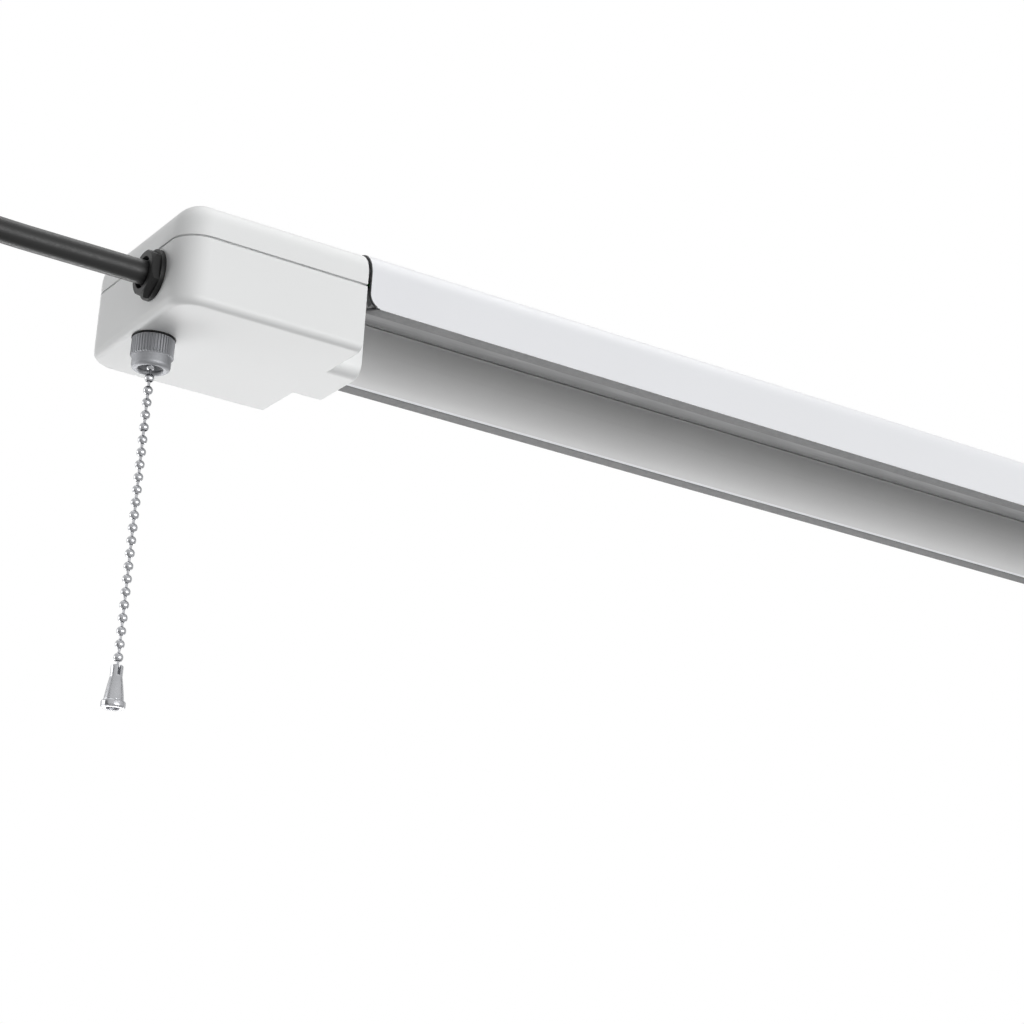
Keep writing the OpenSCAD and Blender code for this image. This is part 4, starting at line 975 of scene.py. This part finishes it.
def model_screws():
    long_screw = model_screw(head_d=5.6, head_h=2.2, length=24)
    ends = [(SWITCH_END_X, 1, post_places(SWITCH_CAP_L)), (FAR_END_X, -1, post_places(FAR_CAP_L)[:2])]
    copies = [copied(long_screw, "cover_screw", end + way * x, y, CAP_TOP - WELL_DEPTH)
              for end, way, posts in ends for x, y in posts]
    dress(joined("cover_screw_set", copies), "root", "zinc", "cover_screws")
    short_screw = model_screw(head_d=6, head_h=1.8, length=4)
    copies = [copied(short_screw, "channel_screw", sx * CHANNEL_SCREW_X, sy * HANG_Y, 0)
              for sx, sy in QUARTERS]
    dress(joined("channel_screw_set", copies), "root", "zinc", "channel_screws")
    earth_screw = model_screw(head_d=6, head_h=1.8, length=5)
    dress(copied(earth_screw, "earth_screw", GROUND_X, -HANG_Y, 0), "root", SLOTS["ground_screw"],
          "ground_screw")
    for pattern in (long_screw, short_screw, earth_screw):
        bpy.data.objects.remove(pattern, do_unlink=True)


# Plug: a moulded body with flats, a ribbed strain relief, two blades and a ground pin. It hangs face down,
# and heights are counted from the relief's end.
PLUG = Vector((-671.56, -7.7, -237.73))
PLUG_FLAT = 10.5
PLUG_FACE = -46
PLUG_R = 13.5
RELIEF_R = 5.3
RELIEF_TAPER = 0.099
RELIEF_GROOVE = 0.55
RELIEF_EDGES = (0.6, 3, 4.2, 6, 7.2, 9, 10.2, 12, 13.2, 15, 16.2, 18, 20)
PLUG_EDGE_R = 1.5
BLADE_L = 16
BLADE_ROOT = 7.9
BLADE_Y = (-2.95, 9.75)
BLADE_W = 6.3
BLADE_T = 1.5
BLADE_PLAY = 0.05
BLADE_TIP_R = 1.3
BLADE_EDGE_R = 0.35
BLADE_HOLE_D = 3.4
BLADE_HOLE_L = 11.7
PIN_Y = -8.5
PIN_R = 2.4
PIN_L = 19


def model_plug_body():
    relief = [(RELIEF_R + RELIEF_TAPER * t - (RELIEF_GROOVE if k % 2 else 0), -t)
              for k, t in enumerate(RELIEF_EDGES)]
    edge = arc(PLUG_R - PLUG_EDGE_R, PLUG_FACE + PLUG_EDGE_R, PLUG_EDGE_R, 0, -90, 5)
    profile = [(POLE, 0), (4.7, 0), *relief, (7.6, -21.6), (8.4, -22.6), (9.6, -24.6), (11.2, -27.4),
               (12.6, -30), (13.3, -32), (PLUG_R, -33.5), (PLUG_R, -44.3), *edge[1:], (POLE, PLUG_FACE)]
    body = turned("plug_moulding", PLUG, UP, profile, 64)
    flats = block("flats", PLUG + Vector((-PLUG_FLAT, -PLUG_R - PAST, PLUG_FACE - PAST)),
                  PLUG + Vector((PLUG_FLAT, PLUG_R + PAST, PAST)))
    carve(body, flats, "INTERSECT")
    soften(body, 0.8, angle=38, segments=3)
    low = PLUG_FACE - PAST
    root = PLUG_FACE + BLADE_ROOT
    half_w = BLADE_W / 2 + BLADE_PLAY
    half_t = BLADE_T / 2 + BLADE_PLAY
    for y in BLADE_Y:
        carve(body, block("slot", PLUG + Vector((-half_w, y - half_t, low)),
                          PLUG + Vector((half_w, y + half_t, root))))
    carve(body, rod("slot", PLUG + Vector((0, PIN_Y, low)), PLUG + Vector((0, PIN_Y, root)),
                    2 * (PIN_R + BLADE_PLAY)))
    smooth(body, 35)
    dress(body, "root", SLOTS["plug_body"], "plug_body")


def model_blade(y):
    tip = PLUG_FACE - BLADE_L
    blade = block("blade", PLUG + Vector((-BLADE_W / 2, y - BLADE_T / 2, tip)),
                  PLUG + Vector((BLADE_W / 2, y + BLADE_T / 2, PLUG_FACE + BLADE_ROOT)))
    edit(blade)
    pick("EDGE", lambda edge, places: runs(places, Y) and highest(places, Z) < PLUG.z + tip + NEAR)
    round_edges(BLADE_TIP_R, 3)
    pick("EDGE", lambda edge, places: runs(places, X) and highest(places, Z) < PLUG.z + tip + NEAR)
    round_edges(BLADE_EDGE_R, 2)
    finish_edit()
    hole_z = PLUG_FACE - BLADE_HOLE_L
    carve(blade, rod("hole", PLUG + Vector((0, y - PAST, hole_z)), PLUG + Vector((0, y + PAST, hole_z)),
                     BLADE_HOLE_D, 32))
    soften(blade, 0.12, angle=50, segments=1)
    return blade


def model_plug():
    model_plug_body()
    blades = joined("plug_contact_blades", [model_blade(y) for y in BLADE_Y])
    smooth(blades, 30)
    dress(blades, "root", SLOTS["plug_blades"], "plug_blades")
    tip = PLUG_FACE - PIN_L
    pin = turned("plug_earth_pin", PLUG + Vector((0, PIN_Y, 0)), UP,
                 [(POLE, PLUG_FACE + BLADE_ROOT), (PIN_R, PLUG_FACE + BLADE_ROOT),
                  *arc(0, tip + PIN_R, PIN_R, 0, -80, 8), (POLE, tip)], 32)
    smooth(pin, 30)
    dress(pin, "root", SLOTS["plug_ground_pin"], "plug_ground_pin")


# Tie: a strap round the coil's turns, with its end lapped over
TIE_W = 12
TIE_T = 1.2
TIE_GAP = 0.4
TIE_CORNER_R = 4
LAP_T = 0.9
LAP_SINK = 0.1
LAP_INSET = 1
LAP_ENDS = (4, 5)


def model_tie():
    middle = CORD_EXIT + coil_centre() + Vector((0, COIL_PITCH / 2, 0))
    around = TIE_GAP + TIE_T
    half_y = (CORD_D + COIL_PITCH) / 2 + around
    low = COIL_IN_R - CORD_D / 2 - around
    high = COIL_OUT_R + CORD_D / 2 + around
    piece = block("tie_strap", middle + Vector((-TIE_W / 2, -half_y, low)),
                  middle + Vector((TIE_W / 2, half_y, high)))
    edit(piece)
    pick("FACE", lambda face, places: abs(face.normal.x) > FACING)
    bpy.ops.mesh.delete(type="FACE")
    pick("EDGE", lambda edge, places: runs(places, X))
    round_edges(TIE_CORNER_R, 8)
    finish_edit()
    modify(piece, "SOLIDIFY", thickness=TIE_T * MM, offset=-1, use_even_offset=True)
    soften(piece, 0.25, angle=50)
    lap = block("lap", middle + Vector((LAP_INSET - TIE_W / 2, half_y - LAP_SINK, low + LAP_ENDS[0])),
                middle + Vector((TIE_W / 2 - LAP_INSET, half_y + LAP_T, high - LAP_ENDS[1])))
    soften(lap, 0.3, angle=50)
    piece = joined("tie_strap", [piece, lap])
    smooth(piece, 30)
    dress(piece, "root", SLOTS["cord_tie"], "cord_tie")


model_channel()
model_reflector()
model_lens()
model_caps()
model_nut()
model_bushing()
model_spring()
model_chain()
model_bell()
model_gland()
model_screws()
model_plug()
model_tie()


# Studio: a pale floor well below, a white surround and four soft lamps. Sizes and places are in metres.
FLOOR_Z = -1.3
FLOOR_SIZE = 30
FLOOR_GLOW = 0.55
SURROUND = 0.17
AIM = (-0.1, 0, 0)


def seen_by_eye(tree):
    """1 for rays from the camera, and for those that gloss or glass sends on."""
    path = add_node(tree, "ShaderNodeLightPath")
    seen = path.outputs["Is Camera Ray"]
    for ray in ("Is Glossy Ray", "Is Transmission Ray"):
        either = add_node(tree, "ShaderNodeMath", {"operation": "MAXIMUM"}, i0=seen, i1=path.outputs[ray])
        seen = either.outputs[0]
    return seen


def add_floor():
    bpy.ops.object.select_all(action="DESELECT")
    bpy.ops.mesh.primitive_plane_add(size=FLOOR_SIZE, location=(0, 0, FLOOR_Z))
    floor = settle("studio_floor")
    material, tree, shader = new_material("pale_floor")
    place = add_node(tree, "ShaderNodeTexCoord").outputs["Object"]
    drift = add_node(tree, "ShaderNodeTexNoise", Vector=place, Scale=1.1, Detail=2.0)
    pale = add_node(tree, "ShaderNodeMix", {"data_type": "RGBA"}, i0=drift.outputs[0], i6=colour("E8E8E8"),
                    i7=colour("EEEEEE"))
    # Pale to the eye, and darker to the light that it throws back, so that the trough keeps its shade
    tone = add_node(tree, "ShaderNodeMix", {"data_type": "RGBA"}, i0=seen_by_eye(tree), i6=colour("949494"),
                    i7=pale.outputs[2])
    tree.links.new(tone.outputs[2], shader.inputs["Base Color"])
    # A glow for the eye alone, so that the floor stays pale without more light on the object
    glow = add_node(tree, "ShaderNodeMath", {"operation": "MULTIPLY"}, i0=seen_by_eye(tree), i1=FLOOR_GLOW)
    tree.links.new(pale.outputs[2], shader.inputs["Emission Color"])
    tree.links.new(glow.outputs[0], shader.inputs["Emission Strength"])
    shader.inputs["Roughness"].default_value = 0.9
    # Clear from underneath, for a look from below
    under = add_node(tree, "ShaderNodeNewGeometry").outputs["Backfacing"]
    clear = add_node(tree, "ShaderNodeBsdfTransparent")
    sided = add_node(tree, "ShaderNodeMixShader", i0=under, i1=shader.outputs[0], i2=clear.outputs[0])
    tree.links.new(sided.outputs[0], tree.nodes["Material Output"].inputs["Surface"])
    floor.data.materials.append(material)
    return floor


def add_area_light(name, place, target, width, height, power, flagged=None):
    """A soft box; it throws no light on what is flagged off from it."""
    data = bpy.data.lights.new(name, "AREA")
    data.shape = "RECTANGLE"
    data.size = width
    data.size_y = height
    data.energy = power
    lamp = bpy.data.objects.new(name, data)
    lamp.visible_camera = False
    lamp.location = place
    lamp.rotation_mode = "QUATERNION"
    lamp.rotation_quaternion = (Vector(target) - Vector(place)).to_track_quat("-Z", "Y")
    bpy.context.scene.collection.objects.link(lamp)
    if flagged:
        off = bpy.data.collections.new(name + "_flag")
        off.objects.link(flagged)
        lamp.light_linking.receiver_collection = off
        off.collection_objects[0].light_linking.link_state = "EXCLUDE"


def add_world(strength):
    """White to the eye, and dimmer to the object, whatever the lamps add."""
    world = bpy.data.worlds.new("studio")
    bpy.context.scene.world = world
    world.use_nodes = True
    tree = world.node_tree
    tree.nodes.clear()
    dim = add_node(tree, "ShaderNodeBackground", Color=(1, 1, 1, 1), Strength=strength)
    white = add_node(tree, "ShaderNodeBackground", Color=(1, 1, 1, 1), Strength=1.0)
    mix = add_node(tree, "ShaderNodeMixShader", i0=seen_by_eye(tree), i1=dim.outputs[0], i2=white.outputs[0])
    add_node(tree, "ShaderNodeOutputWorld", Surface=mix.outputs[0])


studio_floor = add_floor()
add_world(SURROUND)
add_area_light("front_key", place=(0.1, -2.9, -0.46), target=AIM, width=3, height=1.3, power=80,
               flagged=studio_floor)
add_area_light("low_back", place=(-0.1, 1.36, -0.85), target=AIM, width=3, height=0.4, power=30.5,
               flagged=studio_floor)
add_area_light("left_fill", place=(-2.2, 1.2, 0), target=(-0.6, 0, 0), width=1, height=1, power=12.5,
               flagged=studio_floor)
add_area_light("overhead", place=(-0.1, 0.1, 2.5), target=AIM, width=3, height=2, power=36)
